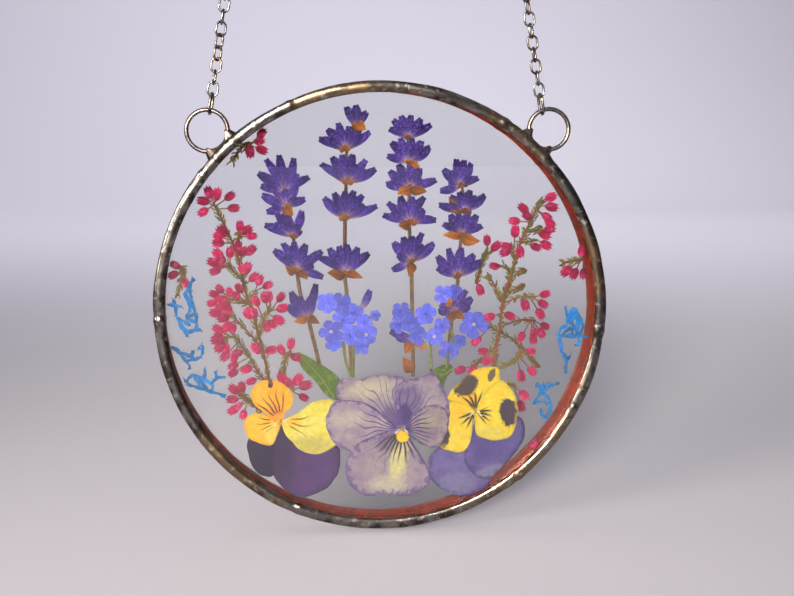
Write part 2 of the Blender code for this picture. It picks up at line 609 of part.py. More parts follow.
def on_glass(point):
    """Carry a pixel of the photograph to the middle plane of the disc."""
    eye, forward, right, up = sight_axes()
    ray = (forward * VIEW_FOCAL_PX + right * (point[0] - VIEW_MIDDLE_PX[0])
           - up * (point[1] - VIEW_MIDDLE_PX[1]))
    return DISC_CENTRE + eye - ray * (eye.y / ray.y)


def slab(outline, cutters, level=0.0, depth=LAYER_DEPTH):
    """A filled 2D curve of even depth, made a mesh that still lies flat, front face up."""
    curve = bpy.data.curves.new("slab", "CURVE")
    curve.dimensions = "2D"
    curve.fill_mode = "BOTH"
    curve.extrude = depth / 2
    spline = curve.splines.new("POLY")
    spline.points.add(len(outline) - 1)
    for point, place in zip(spline.points, outline):
        point.co = (place.x, place.z, 0.0, 1.0)
    spline.use_cyclic_u = True
    guide = bpy.data.objects.new("slab guide", curve)
    cutters.objects.link(guide)
    mesh = baked_mesh(guide)
    bpy.data.objects.remove(guide, do_unlink=True)
    shape = bmesh.new()
    shape.from_mesh(mesh)
    bmesh.ops.recalc_face_normals(shape, faces=shape.faces)
    bmesh.ops.translate(shape, verts=shape.verts, vec=(0.0, 0.0, level))
    shape.to_mesh(mesh)
    shape.free()
    return add_object("slab", mesh, None, cutters)


def bud(base, tip, width, cutters):
    """A bud, calyx or bell: four outline points from its base to its tip."""
    run = tip - base
    side = Vector((run.z, 0.0, -run.x)).normalized() * (width / 2)
    waist = base + run * 0.6
    return slab([base, waist - side, tip, waist + side], cutters)


def stalk(points, width, cutters):
    """A flat stem of even width along points."""
    left, right = [], []
    for number, point in enumerate(points):
        before = points[max(number - 1, 0)]
        after = points[min(number + 1, len(points) - 1)]
        run = (after - before).normalized()
        side = Vector((run.z, 0.0, -run.x)) * (width / 2)
        left.append(point + side)
        right.append(point - side)
    return slab(left + right[::-1], cutters)


def pressed(name, shapes, layer, material, collection, cutters):
    """Fuse flat shapes into one closed solid and lay it in its layer between the panes."""
    first, others = shapes[0], shapes[1:]
    if others:
        pieces = bpy.data.collections.new("pieces")
        for item in others:
            cutters.objects.unlink(item)
            pieces.objects.link(item)
        union = first.modifiers.new("fuse", "BOOLEAN")
        union.operation = "UNION"
        union.solver = "EXACT"
        union.operand_type = "COLLECTION"
        union.collection = pieces
        cutters.children.link(pieces)
    mesh = baked_mesh(first, weld=1e-7)
    for item in shapes:
        bpy.data.objects.remove(item, do_unlink=True)
    if others:
        bpy.data.collections.remove(pieces)
    shape = bmesh.new()
    shape.from_mesh(mesh)
    bmesh.ops.dissolve_limit(shape, angle_limit=math.radians(1.0), verts=shape.verts, edges=shape.edges)
    loose = [vert for vert in shape.verts if not vert.link_faces]
    bmesh.ops.delete(shape, geom=loose, context="VERTS")
    shape.to_mesh(mesh)
    shape.free()
    mesh.transform(Matrix.Translation((0.0, layer, 0.0)) @ Matrix.Rotation(math.radians(90), 4, "X"))
    return add_object(name, mesh, material, collection)


def lavender(name, collection, cutters):
    """A lavender spike: its stem and the calyces of each whorl."""
    layout = LAVENDERS_PX[name]
    shapes = [stalk([on_glass(point) for point in layout["stem"]], STEM_WIDTH_PX * PX, cutters)]
    for base, tips in layout["whorls"]:
        for tip in tips:
            shapes.append(bud(on_glass(base), on_glass(tip), BUD_WIDTH_PX * PX, cutters))
    return pressed(name, shapes, LAVENDERS, "lavender", collection, cutters)


def viola(name, layer, material, collection, cutters):
    """Five petals that lap over each other round the eye, each a little in front of the last."""
    shapes = []
    for number, petal in enumerate(VIOLAS_PX[name]):
        outline = [on_glass(point) for point in petal]
        shapes.append(slab(outline, cutters, (number - 2) * PETAL_STEP, PETAL_DEPTH))
    return pressed(name, shapes, layer, material, collection, cutters)


def five_petals(middle, radius, turn, cutters):
    """A forget-me-not flower: five round petals about its eye."""
    outline = []
    for step in range(10):
        angle = turn + 2 * math.pi * step / 10
        reach = radius * (0.62 if step % 2 == 0 else 1.0)
        outline.append(middle + Vector((math.cos(angle), 0.0, math.sin(angle))) * reach)
    return slab(outline, cutters)


def forget_me_not(name, collection, cutters):
    """A bunch of forget-me-not flowers with its stems."""
    layout = FORGET_ME_NOTS_PX[name]
    shapes = []
    for number, (x_px, y_px, radius_px) in enumerate(layout["flowers"]):
        shapes.append(five_petals(on_glass((x_px, y_px)), radius_px * PX, 0.4 + number, cutters))
    for stem in layout["stems"]:
        shapes.append(stalk([on_glass(point) for point in stem], STEM_WIDTH_PX * PX, cutters))
    return pressed(name, shapes, FORGET_ME_NOTS, "forget-me-not blue", collection, cutters)


def bell(middle, root, cutters):
    """A pressed heather bell: a point in its stem, widening to its mouth."""
    growth = (middle - root).normalized()
    mouth = middle + growth * (BELL_LENGTH_PX * 0.5 * PX)
    side = Vector((growth.z, 0.0, -growth.x)) * (BELL_WIDTH_PX / 2 * PX)
    return slab([root - growth * (BELL_ROOT_PX * PX), mouth - side, mouth + side], cutters)


def heather(name, collection, cutters):
    """A heather sprig: woody stems, and a bell for each flower. The low middle one lies on a leaf."""
    layout = HEATHERS_PX[name]
    shapes = []
    for stem in layout["stems"]:
        shapes.append(stalk([on_glass(point) for point in stem], STEM_WIDTH_PX * PX, cutters))
    for x_px, y_px, root_x_px, root_y_px in layout["bells"]:
        shapes.append(bell(on_glass((x_px, y_px)), on_glass((root_x_px, root_y_px)), cutters))
    layer = LAVENDERS if name == "heather_low_middle" else HEATHERS
    return pressed(name, shapes, layer, "heather pink", collection, cutters)


def lichen(name, collection, cutters):
    """A branching lichen sprig, dyed blue."""
    shapes = []
    for branch in LICHENS_PX[name]:
        shapes.append(stalk([on_glass(point) for point in branch], LICHEN_WIDTH_PX * PX, cutters))
    return pressed(name, shapes, LAVENDERS, "blue lichen", collection, cutters)


def flowers(collection, cutters):
    """Every pressed flower and leaf, in its layer."""
    viola("viola_centre", FRONT_VIOLA, "grey violet petal", collection, cutters)
    viola("viola_left", SIDE_VIOLAS, "purple petal", collection, cutters)
    viola("viola_right", SIDE_VIOLAS, "blue violet petal", collection, cutters)
    for name in FORGET_ME_NOTS_PX:
        forget_me_not(name, collection, cutters)
    for name in LAVENDERS_PX:
        lavender(name, collection, cutters)
    base, tip = (on_glass(point) for point in LAVENDER_BUD_PX)
    loose_bud = bud(base, tip, BUD_WIDTH_PX * PX, cutters)
    pressed("lavender_bud", [loose_bud], LAVENDERS, "lavender", collection, cutters)
    for name in HEATHERS_PX:
        heather(name, collection, cutters)
    base, tip = (on_glass(point) for point in HEATHER_BELL_PX)
    loose_bell = bud(base, tip, BELL_WIDTH_PX * PX, cutters)
    pressed("heather_bell", [loose_bell], HEATHERS, "heather pink", collection, cutters)
    for name, outline in LEAVES_PX.items():
        leaf = slab([on_glass(point) for point in outline], cutters)
        pressed(name, [leaf], HEATHERS, "green leaf", collection, cutters)
    for name in LICHENS_PX:
        lichen(name, collection, cutters)


def main():
    """Build the suncatcher."""
    clear_scene()
    collection = new_collection("pressed flower suncatcher")
    cutters = new_collection("cutters")
    pane("glass_front", -1, "glass", collection)
    pane("glass_back", 1, "glass", collection)
    turned("copper_foil", foil_profile(), "copper foil", collection)
    solder_rim(collection, cutters)
    jump_ring("jump_ring_left", -1, RING_WIRE, "dark chain metal", collection)
    jump_ring("jump_ring_right", 1, RING_WIRE, "dark chain metal", collection)
    chain_leg("left", -1, LEFT_TURNS, collection)
    chain_leg("right", 1, RIGHT_TURNS, collection)
    hook("left", -1, collection)
    hook("right", 1, collection)
    flowers(collection, cutters)


main()
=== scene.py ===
"""A round suncatcher of pressed flowers between two panes, dressed round its solids.

Each class below is one sub-assembly: the panes, the copper foil and solder, the rings, chains and
hooks, and each kind of flower. Each finish is a frozen dataclass that makes one material. Metres,
+Z up, the front towards -Y. Places read from the photograph are pixels, carried to the disc along
the sight line by on_glass().
"""
import logging
import math
import random
from collections.abc import Callable, Iterable, Sequence
from dataclasses import dataclass, field
from enum import Enum

import bmesh
import bpy
from bmesh.types import BMesh, BMVert
from bpy.types import Material
from bpy.types import NodeSocket as Socket
from mathutils import Matrix, Vector, noise


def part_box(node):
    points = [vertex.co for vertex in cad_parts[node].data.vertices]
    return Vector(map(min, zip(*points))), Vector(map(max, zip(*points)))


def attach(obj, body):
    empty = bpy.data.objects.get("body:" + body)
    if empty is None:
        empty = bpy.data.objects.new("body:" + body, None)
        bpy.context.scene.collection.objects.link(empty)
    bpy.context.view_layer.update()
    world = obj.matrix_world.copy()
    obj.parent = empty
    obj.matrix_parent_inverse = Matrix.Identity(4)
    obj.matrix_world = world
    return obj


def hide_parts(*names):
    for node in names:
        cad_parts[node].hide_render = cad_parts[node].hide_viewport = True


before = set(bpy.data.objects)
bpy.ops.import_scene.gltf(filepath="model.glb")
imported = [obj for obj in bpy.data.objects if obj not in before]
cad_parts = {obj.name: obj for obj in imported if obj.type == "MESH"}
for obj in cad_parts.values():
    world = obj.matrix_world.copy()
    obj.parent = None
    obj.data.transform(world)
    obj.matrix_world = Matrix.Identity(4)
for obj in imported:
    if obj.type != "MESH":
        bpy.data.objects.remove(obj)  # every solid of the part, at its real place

log = logging.getLogger("suncatcher")

MM = 0.001
Pixel = tuple[float, float]
Shaded = Material | bpy.types.World     # what has shader nodes
BACKWARD, UPWARD = Vector((0.0, 1.0, 0.0)), Vector((0.0, 0.0, 1.0))

# The disc, read from its solids
PANE_LOW, PANE_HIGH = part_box("glass_front")
RIM_LOW, RIM_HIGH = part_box("solder_rim")
DISC_CENTRE = Vector(((PANE_LOW.x + PANE_HIGH.x) / 2, 0.0, (PANE_LOW.z + PANE_HIGH.z) / 2))
GLASS_RADIUS = (PANE_HIGH.z - PANE_LOW.z) / 2
RIM_RADIUS = (RIM_HIGH.z - RIM_LOW.z) / 2
PANE_OUTER = -PANE_LOW.y           # from the middle plane to the front of the front pane

# The layers of the pressed flowers, from the front
LAYER_PITCH = 0.29 * MM
FRONT_VIOLA, SIDE_VIOLAS, FORGET_ME_NOTS, LAVENDERS, HEATHERS = (
    (step - 2) * LAYER_PITCH for step in range(5)
)

# The photograph's view
VIEW_WIDTH_PX = 794
VIEW_FOCAL_PX = 1100.0
VIEW_MIDDLE_PX = (397.0, 298.0)
VIEW_TURN = math.radians(3.0)
VIEW_RISE = math.radians(9.0)
VIEW_DISTANCE = 253.0 * MM
VIEW_AIM = Vector((3.5 * MM, 0.0, 2.5 * MM))
PX = VIEW_DISTANCE / VIEW_FOCAL_PX     # one pixel on the glass
SENSOR_WIDTH_MM = 36.0


class Body(Enum):
    """The three bodies that move."""

    HOOKS = "hooks"
    CHAINS = "chains"
    DISC = "disc"


class Side(Enum):
    """Left and right legs, as seen from the front."""

    LEFT = -1
    RIGHT = 1

    @property
    def label(self) -> str:
        """The word that the nodes' names use."""
        return self.name.lower()


def sight_axes() -> tuple[Vector, Vector, Vector, Vector]:
    """The photograph's eye, from the disc's centre, and its forward, right and up directions."""
    eye = VIEW_DISTANCE * Vector((-math.sin(VIEW_TURN) * math.cos(VIEW_RISE),
                                  -math.cos(VIEW_TURN) * math.cos(VIEW_RISE), math.sin(VIEW_RISE)))
    forward = (VIEW_AIM - eye).normalized()
    right = forward.cross(UPWARD).normalized()
    return eye, forward, right, right.cross(forward)


def on_glass(pixel: Sequence[float], depth: float = 0.0) -> Vector:
    """Carry a pixel of the photograph to the disc.

    Args:
        pixel: x and y in the photograph.
        depth: distance behind the disc's middle plane at which the point is put.

    Returns:
        The point in the frame, straight behind where the sight line meets the middle plane.
    """
    eye, forward, right, up = sight_axes()
    ray = (forward * VIEW_FOCAL_PX + right * (pixel[0] - VIEW_MIDDLE_PX[0])
           - up * (pixel[1] - VIEW_MIDDLE_PX[1]))
    point = DISC_CENTRE + eye - ray * (eye.y / ray.y)
    return Vector((point.x, depth, point.z))


# Places read from the photograph, in pixels. A stem's points run from its top down, a whorl is
# its base and its buds' tips.
LAVENDERS_PX = {
    "lavender_left": {
        "stem": ((284, 188), (290, 214), (294, 242), (297, 271), (301, 296), (309, 322), (320, 366)),
        "whorls": (
            ((285, 192), ((266, 159), (279, 155), (294, 158), (309, 177), (258, 173), (261, 186))),
            ((287, 206), ((262, 195), (267, 212), (271, 181), (296, 181), (305, 199))),
            ((293, 236), ((265, 225), (277, 214), (284, 213), (302, 211), (301, 230))),
            ((297, 270), ((274, 250), (283, 243), (294, 242), (306, 244), (322, 251), (323, 277))),
            ((307, 318), ((288, 306), (291, 292), (300, 296), (311, 296), (316, 284))),
        ),
    },
    "lavender_middle_left": {
        "stem": ((355, 122), (347, 150), (346, 184), (345, 220), (345, 275), (347, 298), (352, 376)),
        "whorls": (
            ((355, 126), ((346, 107), (356, 105), (367, 112))),
            ((346, 149), ((319, 139), (327, 129), (338, 123), (349, 126), (361, 123), (370, 132))),
            ((346, 182), ((321, 164), (332, 157), (342, 155), (353, 154), (366, 160), (376, 169))),
            ((345, 218), ((324, 198), (334, 193), (345, 191), (354, 191), (363, 195), (377, 206))),
            ((345, 273), ((319, 257), (329, 248), (339, 246), (347, 244), (358, 247), (369, 253))),
        ),
    },
    "lavender_middle_right": {
        "stem": ((408, 130), (408, 160), (409, 190), (409, 222), (411, 260), (412, 300), (413, 376)),
        "whorls": (
            ((408, 137), ((389, 129), (393, 120), (401, 116), (411, 115), (421, 119), (431, 125))),
            ((408, 162), ((387, 156), (391, 142), (400, 138), (412, 138), (422, 141), (430, 147))),
            ((410, 187), ((386, 184), (389, 171), (398, 164), (410, 162), (420, 168), (436, 180))),
            ((409, 222), ((383, 215), (388, 203), (400, 196), (412, 196), (424, 197), (436, 220))),
            ((411, 261), ((393, 242), (403, 237), (412, 236), (422, 233), (434, 243), (392, 270))),
            ((414, 339), ((390, 331), (396, 337))),
        ),
    },
    "lavender_right": {
        "stem": ((459, 176), (465, 205), (461, 234), (458, 276), (457, 286), (453, 306), (451, 326),
                 (447, 364)),
        "whorls": (
            ((460, 186), ((443, 169), (456, 159), (464, 160), (471, 163), (478, 178), (440, 191))),
            ((465, 210), ((439, 205), (450, 196), (459, 192), (470, 190), (477, 196), (485, 195))),
            ((461, 234), ((443, 224), (450, 214), (458, 213), (468, 214), (477, 215), (482, 226))),
            ((457, 276), ((437, 268), (437, 256), (448, 248), (461, 247), (474, 254), (481, 261))),
            ((454, 310), ((440, 304), (438, 311), (472, 298), (470, 306), (466, 290))),
        ),
    },
}
LAVENDER_BUD_PX = ((360.5, 310), (370, 290))

# Each viola petal is its outline; the first point is next to the flower's eye.
VIOLAS_PX = {
    "viola_left": (
        ((281, 423), (262, 432), (248, 439), (249, 454), (252, 464), (258, 472), (266, 475), (275, 473),
         (282, 456)),
        ((281, 423), (273, 452), (274, 474), (281, 484), (288, 490), (298, 496), (308, 495), (322, 490),
         (332, 481), (338, 472), (340, 459), (336, 444), (300, 436)),
        ((281, 421), (272, 416), (264, 413), (254, 413), (247, 416), (244, 422), (245, 430), (249, 437),
         (257, 441), (266, 444), (273, 443), (277, 435), (280, 427)),
        ((281, 424), (272, 419), (264, 411), (256, 405), (252, 398), (251, 392), (254, 386), (261, 380),
         (268, 379), (271, 383), (274, 379), (280, 381), (288, 387), (293, 394), (293, 401), (290, 408),
         (285, 412)),
        ((282, 421), (290, 416), (299, 411), (311, 402), (322, 399), (332, 399), (339, 408), (341, 422),
         (340, 437), (336, 444), (326, 450), (317, 453), (309, 452), (299, 448), (292, 440), (286, 434)),
    ),
    "viola_centre": (
        ((403, 430), (385, 423), (368, 413), (350, 403), (337, 396), (338, 382), (344, 377), (356, 379),
         (368, 376), (382, 374), (397, 375), (405, 379), (408, 396)),
        ((403, 430), (397, 410), (394, 392), (399, 382), (408, 379), (421, 375), (432, 372), (438, 377),
         (443, 387), (447, 398), (449, 408), (447, 418), (426, 430)),
        ((394, 424), (372, 405), (352, 399), (336, 400), (330, 406), (326, 417), (327, 427), (331, 437),
         (337, 444), (350, 450), (360, 444), (374, 438), (392, 433)),
        ((404, 430), (411, 416), (422, 406), (433, 404), (444, 407), (448, 417), (447, 429), (441, 442),
         (432, 446), (421, 443), (412, 437)),
        ((400, 426), (385, 430), (372, 435), (357, 443), (348, 456), (345, 467), (347, 479), (356, 489),
         (368, 494), (387, 492), (404, 494), (420, 489), (429, 480), (430, 472), (424, 460), (414, 444),
         (408, 434)),
    ),
    "viola_right": (
        ((474, 417), (452, 436), (438, 446), (429, 456), (429, 467), (431, 478), (440, 487), (452, 493),
         (463, 495), (477, 491), (490, 481), (484, 455)),
        ((474, 417), (464, 452), (466, 464), (474, 474), (486, 478), (498, 470), (512, 454), (522, 440),
         (524, 428), (517, 415), (492, 424)),
        ((474, 411), (449, 399), (449, 393), (455, 385), (466, 375), (477, 368), (489, 366), (497, 367),
         (499, 372), (498, 384), (486, 396)),
        ((476, 409), (484, 391), (499, 380), (507, 384), (514, 392), (516, 401), (517, 413), (514, 428),
         (508, 436), (496, 439), (483, 437), (475, 431)),
        ((474, 411), (452, 400), (443, 412), (438, 430), (439, 445), (451, 450), (461, 451), (466, 447),
         (470, 439), (472, 426)),
    ),
}

# Forget-me-not flowers are their middle and radius; stems are their points.
FORGET_ME_NOTS_PX = {
    "forget_me_not_left": {
        "flowers": ((327, 303, 11), (341, 303, 12), (354, 313, 11), (343, 320, 11), (364, 322, 9),
                    (350, 334, 11), (331, 331, 12), (366, 334, 12), (361, 346, 9), (375, 315, 6),
                    (334, 343, 9)),
        "stems": (((343, 340), (346, 362), (351, 376)), ((354, 345), (353, 377)), ((364, 320), (375, 315))),
    },
    "forget_me_not_middle": {
        "flowers": ((401, 311, 10), (399, 324, 10), (412, 322, 10), (426, 314, 11), (418, 335, 10),
                    (442, 325, 9), (434, 336, 9)),
        "stems": (((430, 336), (431, 371)),),
    },
    "forget_me_not_upper": {"flowers": ((443, 294, 10), (455, 292, 8)), "stems": ()},
    "forget_me_not_single": {"flowers": ((473.5, 324, 15),), "stems": ()},
    "forget_me_not_lower": {
        "flowers": ((448, 350, 11), (459, 341, 8)),
        "stems": (((448, 350), (446, 368)), ((455, 345), (451, 330))),
    },
}

HEATHERS_PX = {
    "heather_left": {
        "stems": (
            ((213, 202), (219, 214), (226, 228), (233, 244), (238, 258), (242, 272), (245, 289),
             (250, 305), (255, 321), (260, 340), (266, 364), (270, 384)),
            ((234, 249), (238, 238), (240, 231)),
            ((227, 265), (234, 272), (243, 280)),
            ((225, 297), (240, 301), (248, 304)),
            ((231, 314), (242, 326), (256, 341), (262, 352)),
            ((223, 339), (235, 337), (243, 348), (251, 359), (258, 372), (268, 384)),
            ((270, 309), (264, 318), (260, 334)),
            ((248, 304), (256, 290)),
        ),
        "bells": (
            (203, 201, 211, 202), (209, 192, 213, 201), (203, 212, 214, 205), (217, 194, 215, 203),
            (230, 196, 216, 206), (234, 208, 217, 209), (222, 231, 229, 238), (218, 236, 230, 240),
            (218, 243, 231, 243), (240, 226, 240, 233), (247, 230, 240, 234), (252, 236, 239, 237),
            (238, 246, 236, 256), (251, 250, 240, 260), (218, 254, 230, 267),
            (213, 262, 229, 266), (221, 258, 230, 267), (215, 271, 228, 266), (247, 268, 243, 275),
            (254, 277, 246, 284), (268, 285, 255, 291), (239, 288, 248, 302), (214, 294, 228, 298),
            (221, 299, 234, 300), (230, 292, 236, 301), (212, 303, 227, 298), (220, 308, 230, 300),
            (215, 313, 232, 315), (223, 318, 234, 316), (218, 329, 231, 337),
            (227, 327, 236, 319), (217, 340, 226, 339), (220, 347, 228, 339), (225, 356, 238, 342),
            (233, 366, 249, 357), (237, 353, 245, 351), (233, 373, 252, 361), (246, 369, 255, 366),
            (251, 381, 262, 377), (256, 301, 263, 318), (265, 297, 268, 311), (281, 297, 271, 310),
            (283, 308, 270, 311), (279, 320, 267, 313), (272, 324, 263, 320), (248, 314, 256, 322),
            (271, 350, 262, 352), (256, 348, 263, 356),
        ),
    },
    "heather_low_left": {
        "stems": (((262, 412), (251, 403), (244, 396), (238, 395)),),
        "bells": ((234, 389, 243, 396), (232, 399, 246, 398), (233, 410, 248, 401)),
    },
    "heather_low_middle": {
        "stems": (((283, 372), (286, 358), (291, 350)), ((283, 372), (285, 381), (294, 391))),
        "bells": ((291, 343, 289, 353), (281, 349, 286, 358), (296, 357, 288, 354), (282, 378, 287, 387),
                  (289, 382, 292, 390), (298, 379, 292, 388), (306, 385, 292, 390), (304, 397, 293, 391)),
    },
    "heather_right": {
        "stems": (
            ((542, 200), (537, 206), (532, 219), (525, 232), (520, 244), (516, 259), (511, 274),
             (507, 288), (503, 300), (500, 326), (497, 340), (495, 358), (495, 368)),
            ((513, 245), (514, 260)), ((525, 232), (536, 231), (542, 226)), ((521, 243), (538, 240)),
            ((503, 265), (512, 275)), ((486, 275), (492, 281), (499, 295), (502, 302)),
            ((509, 279), (520, 272), (527, 270)), ((507, 293), (518, 288), (525, 284)),
            ((502, 304), (520, 297), (536, 297)), ((500, 327), (520, 320), (536, 321)),
            ((490, 326), (497, 331), (511, 338), (523, 349), (532, 360), (540, 367)),
            ((496, 368), (508, 364), (517, 358), (522, 350)),
            ((496, 345), (487, 356), (479, 362), (471, 366)),
        ),
        "bells": (
            (551, 197, 541, 201), (552, 207, 538, 205), (547, 217, 536, 209), (550, 223, 537, 210),
            (523, 208, 533, 216), (527, 216, 532, 219), (514, 221, 530, 222), (515, 231, 514, 246),
            (550, 229, 538, 230), (545, 235, 534, 231), (546, 245, 537, 240), (536, 247, 525, 243),
            (505, 252, 514, 248), (520, 252, 519, 243), (494, 266, 507, 268), (525, 305, 522, 296),
            (545, 294, 534, 297), (543, 304, 532, 297), (540, 314, 530, 297), (489, 317, 500, 314),
            (510, 316, 502, 312), (545, 326, 534, 321), (541, 333, 533, 321), (533, 339, 531, 321),
            (521, 337, 530, 321), (531, 351, 521, 350), (532, 371, 519, 357), (521, 376, 517, 358),
            (483, 351, 491, 351), (460, 370, 474, 365), (476, 341, 490, 327), (487, 361, 494, 358),
            (472, 371, 480, 361),
        ),
    },
    "heather_shoot": {
        "stems": (((488, 252), (485, 256), (481, 266), (476, 284)),),
        "bells": ((487, 240, 488, 254), (496, 246, 487, 254), (480, 290, 477, 281)),
    },
    "heather_low_right": {
        "stems": (((508, 383), (516, 387)),),
        "bells": ((524, 395, 514, 386), (521, 406, 514, 387)),
    },
    "heather_top_left": {
        "stems": (((232, 162), (241, 148), (252, 143)),),
        "bells": ((262, 133, 251, 144), (260, 141, 250, 144), (250, 152, 249, 143), (262, 150, 248, 144)),
    },
    "heather_left_edge": {
        "stems": (((178, 296), (181, 281), (183, 269), (178, 268)),),
        "bells": ((175, 265, 183, 269), (173, 275, 183, 270), (186, 283, 183, 272)),
    },
    "heather_right_edge": {
        "stems": (((562, 263), (572, 261), (584, 259)),),
        "bells": ((566, 271, 577, 262), (574, 274, 580, 261), (583, 274, 583, 261), (581, 251, 580, 259)),
    },
}
HEATHER_BELL_PX = ((529, 449), (538, 440))

LEAVES_PX = {
    "leaf_left": ((297, 352), (317, 362), (339, 378), (341, 399), (327, 396), (315, 381), (302, 368)),
    "leaf_right": ((432, 373), (440, 366), (448, 364), (452, 366), (452, 371), (447, 377), (443, 388),
                   (440, 388)),
}

LICHENS_PX = {
    "lichen_left_high": (
        ((194, 278), (190, 287), (192, 301), (196, 314), (197, 324)), ((185, 292), (190, 307), (186, 318)),
        ((168, 305), (175, 306), (178, 319), (187, 331), (198, 329), (201, 329)), ((189, 290), (185, 294)),
        ((175, 306), (174, 299)), ((186, 318), (195, 313)), ((187, 318), (197, 324), (195, 331)),
        ((185, 330), (188, 336)), ((178, 318), (191, 325)), ((174, 305), (182, 307)),
    ),
    "lichen_left_middle": (
        ((172, 346), (179, 352), (189, 364), (190, 369)), ((178, 352), (191, 355), (193, 350)),
        ((187, 361), (200, 357), (203, 350), (202, 345)), ((191, 355), (194, 359)), ((203, 350), (198, 348)),
    ),
    "lichen_left_low": (
        ((226, 396), (211, 391), (200, 388), (188, 384)), ((201, 388), (193, 375), (188, 380)),
        ((211, 391), (212, 384), (193, 374)), ((211, 384), (217, 378), (226, 377)), ((217, 378), (216, 371)),
        ((204, 379), (205, 368)), ((206, 389), (198, 376)), ((189, 385), (185, 379)),
    ),
    "lichen_right_high": (
        ((565, 373), (566, 361), (561, 350), (559, 338), (560, 329), (567, 323), (565, 306)),
        ((567, 323), (572, 309), (578, 314), (583, 327)), ((560, 335), (578, 336), (588, 336)),
        ((568, 320), (576, 330), (577, 336)), ((578, 336), (579, 343), (574, 345)), ((566, 361), (570, 355)),
        ((562, 334), (570, 328), (573, 336)), ((570, 315), (580, 321)), ((575, 311), (570, 324)),
        ((578, 315), (576, 332)), ((583, 327), (578, 336)),
    ),
    "lichen_right_low": (
        ((533, 404), (541, 393), (550, 401), (550, 409), (546, 417), (541, 414), (540, 408)),
        ((536, 401), (550, 403)), ((543, 395), (538, 384), (535, 387)), ((543, 395), (548, 382)),
        ((541, 392), (544, 384)), ((547, 386), (553, 384), (559, 382)),
    ),
}

# Bracts and small leaves of the lavender spikes, each as its base and its tip.
BRACTS_PX = {
    "lavender_left": (
        ((285, 206), (292, 214)), ((291, 233), (300, 230)), ((297, 272), (287, 266)),
        ((298, 270), (306, 278)), ((307, 318), (296, 321)), ((308, 316), (318, 322)),
    ),
    "lavender_middle_left": (
        ((355, 124), (364, 129)), ((346, 150), (338, 144)), ((346, 182), (355, 177)),
        ((345, 220), (340, 212)), ((345, 276), (330, 273)), ((345, 272), (360, 277)),
    ),
    "lavender_middle_right": (
        ((408, 164), (418, 166)), ((410, 188), (399, 193)), ((410, 188), (424, 191)),
        ((409, 223), (400, 225)), ((409, 222), (418, 218)), ((411, 262), (409, 274)),
        ((411, 340), (406, 352)), ((412, 336), (425, 347)), ((412, 372), (404, 359)),
    ),
    "lavender_right": (
        ((461, 186), (466, 178)), ((465, 212), (451, 199)), ((464, 212), (469, 206)),
        ((461, 236), (445, 235)), ((461, 236), (477, 240)), ((457, 278), (457, 266)),
        ((454, 312), (446, 318)), ((454, 310), (463, 317)), ((454, 308), (450, 298)),
    ),
}


# Materials

def linear(code: str) -> tuple[float, float, float, float]:
    """Turn an sRGB hex colour to the linear values that a socket takes."""
    channels = [int(code[start:start + 2], 16) / 255 for start in (1, 3, 5)]
    red, green, blue = (c / 12.92 if c <= 0.04045 else ((c + 0.055) / 1.055) ** 2.4 for c in channels)
    return red, green, blue, 1.0


def add_node(material: Shaded, kind: str, inputs: dict | None = None, **settings: object) -> bpy.types.Node:
    """Add one shader node.

    Args:
        material: the material or world whose tree takes the node.
        kind: the node's type after "ShaderNode", such as "TexNoise".
        inputs: socket name or number to a value, or to the output socket that feeds it.
        settings: the node's own properties.

    Returns:
        The new node.
    """
    node = material.node_tree.nodes.new(f"ShaderNode{kind}")
    for key, value in settings.items():
        setattr(node, key, value)
    for key, value in (inputs or {}).items():
        socket = node.inputs[key]
        if isinstance(value, Socket):
            material.node_tree.links.new(value, socket)
        else:
            socket.default_value = value
    return node


def new_material(name: str, **sockets: object) -> tuple[Material, bpy.types.Node]:
    """Start a material.

    Args:
        name: what the real material is.
        sockets: Principled socket values, with underscores for the spaces in their names.

    Returns:
        The material and its Principled node.
    """
    material = bpy.data.materials.new(name)
    material.use_nodes = True
    shader = material.node_tree.nodes["Principled BSDF"]
    for key, value in sockets.items():
        shader.inputs[key.replace("_", " ")].default_value = value
    return material, shader


def feed(material: Shaded, source: Socket, target: Socket) -> None:
    """Link one socket to another."""
    material.node_tree.links.new(source, target)


def blend_colours(material: Material, mask: object, under: object, over: object) -> Socket:
    """Mix two colours by a mask and return the mixed colour's socket."""
    return add_node(material, "Mix", {0: mask, 6: under, 7: over}, data_type="RGBA").outputs[2]


def math_node(material: Material, operation: str, first: object, second: object = 0.0) -> Socket:
    """Add one sum of two values and return its socket."""
    return add_node(material, "Math", {0: first, 1: second}, operation=operation).outputs[0]


def times(material: Material, first: object, second: object) -> Socket:
    """Multiply two values and return their product's socket."""
    return math_node(material, "MULTIPLY", first, second)


def length_of(material: Material, first: object, second: object) -> Socket:
    """The length of a run from its two parts, as a socket."""
    squares = math_node(material, "ADD", times(material, first, first), times(material, second, second))
    return math_node(material, "SQRT", squares)


def turned_axes(material: Material, axes: bpy.types.Node, turn: float,
                sizes: Pixel = (1.0, 1.0)) -> tuple[Socket, Socket]:
    """Turn a place's x and z by an angle, divide each by its size, and return their sockets."""
    cosine, sine = math.cos(turn), math.sin(turn)
    across = math_node(material, "ADD", times(material, axes.outputs[0], cosine / sizes[0]),
                       times(material, axes.outputs[2], sine / sizes[0]))
    along = math_node(material, "SUBTRACT", times(material, axes.outputs[2], cosine / sizes[1]),
                      times(material, axes.outputs[0], sine / sizes[1]))
    return across, along


def rescale(material: Shaded, value: object, low: float, high: float,
            start: float = 0.0, end: float = 1.0) -> Socket:
    """Map a value's range low..high smoothly to start..end and return its socket."""
    limits = {"From Min": low, "From Max": high, "To Min": start, "To Max": end}
    return add_node(material, "MapRange", {"Value": value, **limits},
                    interpolation_type="SMOOTHSTEP").outputs[0]


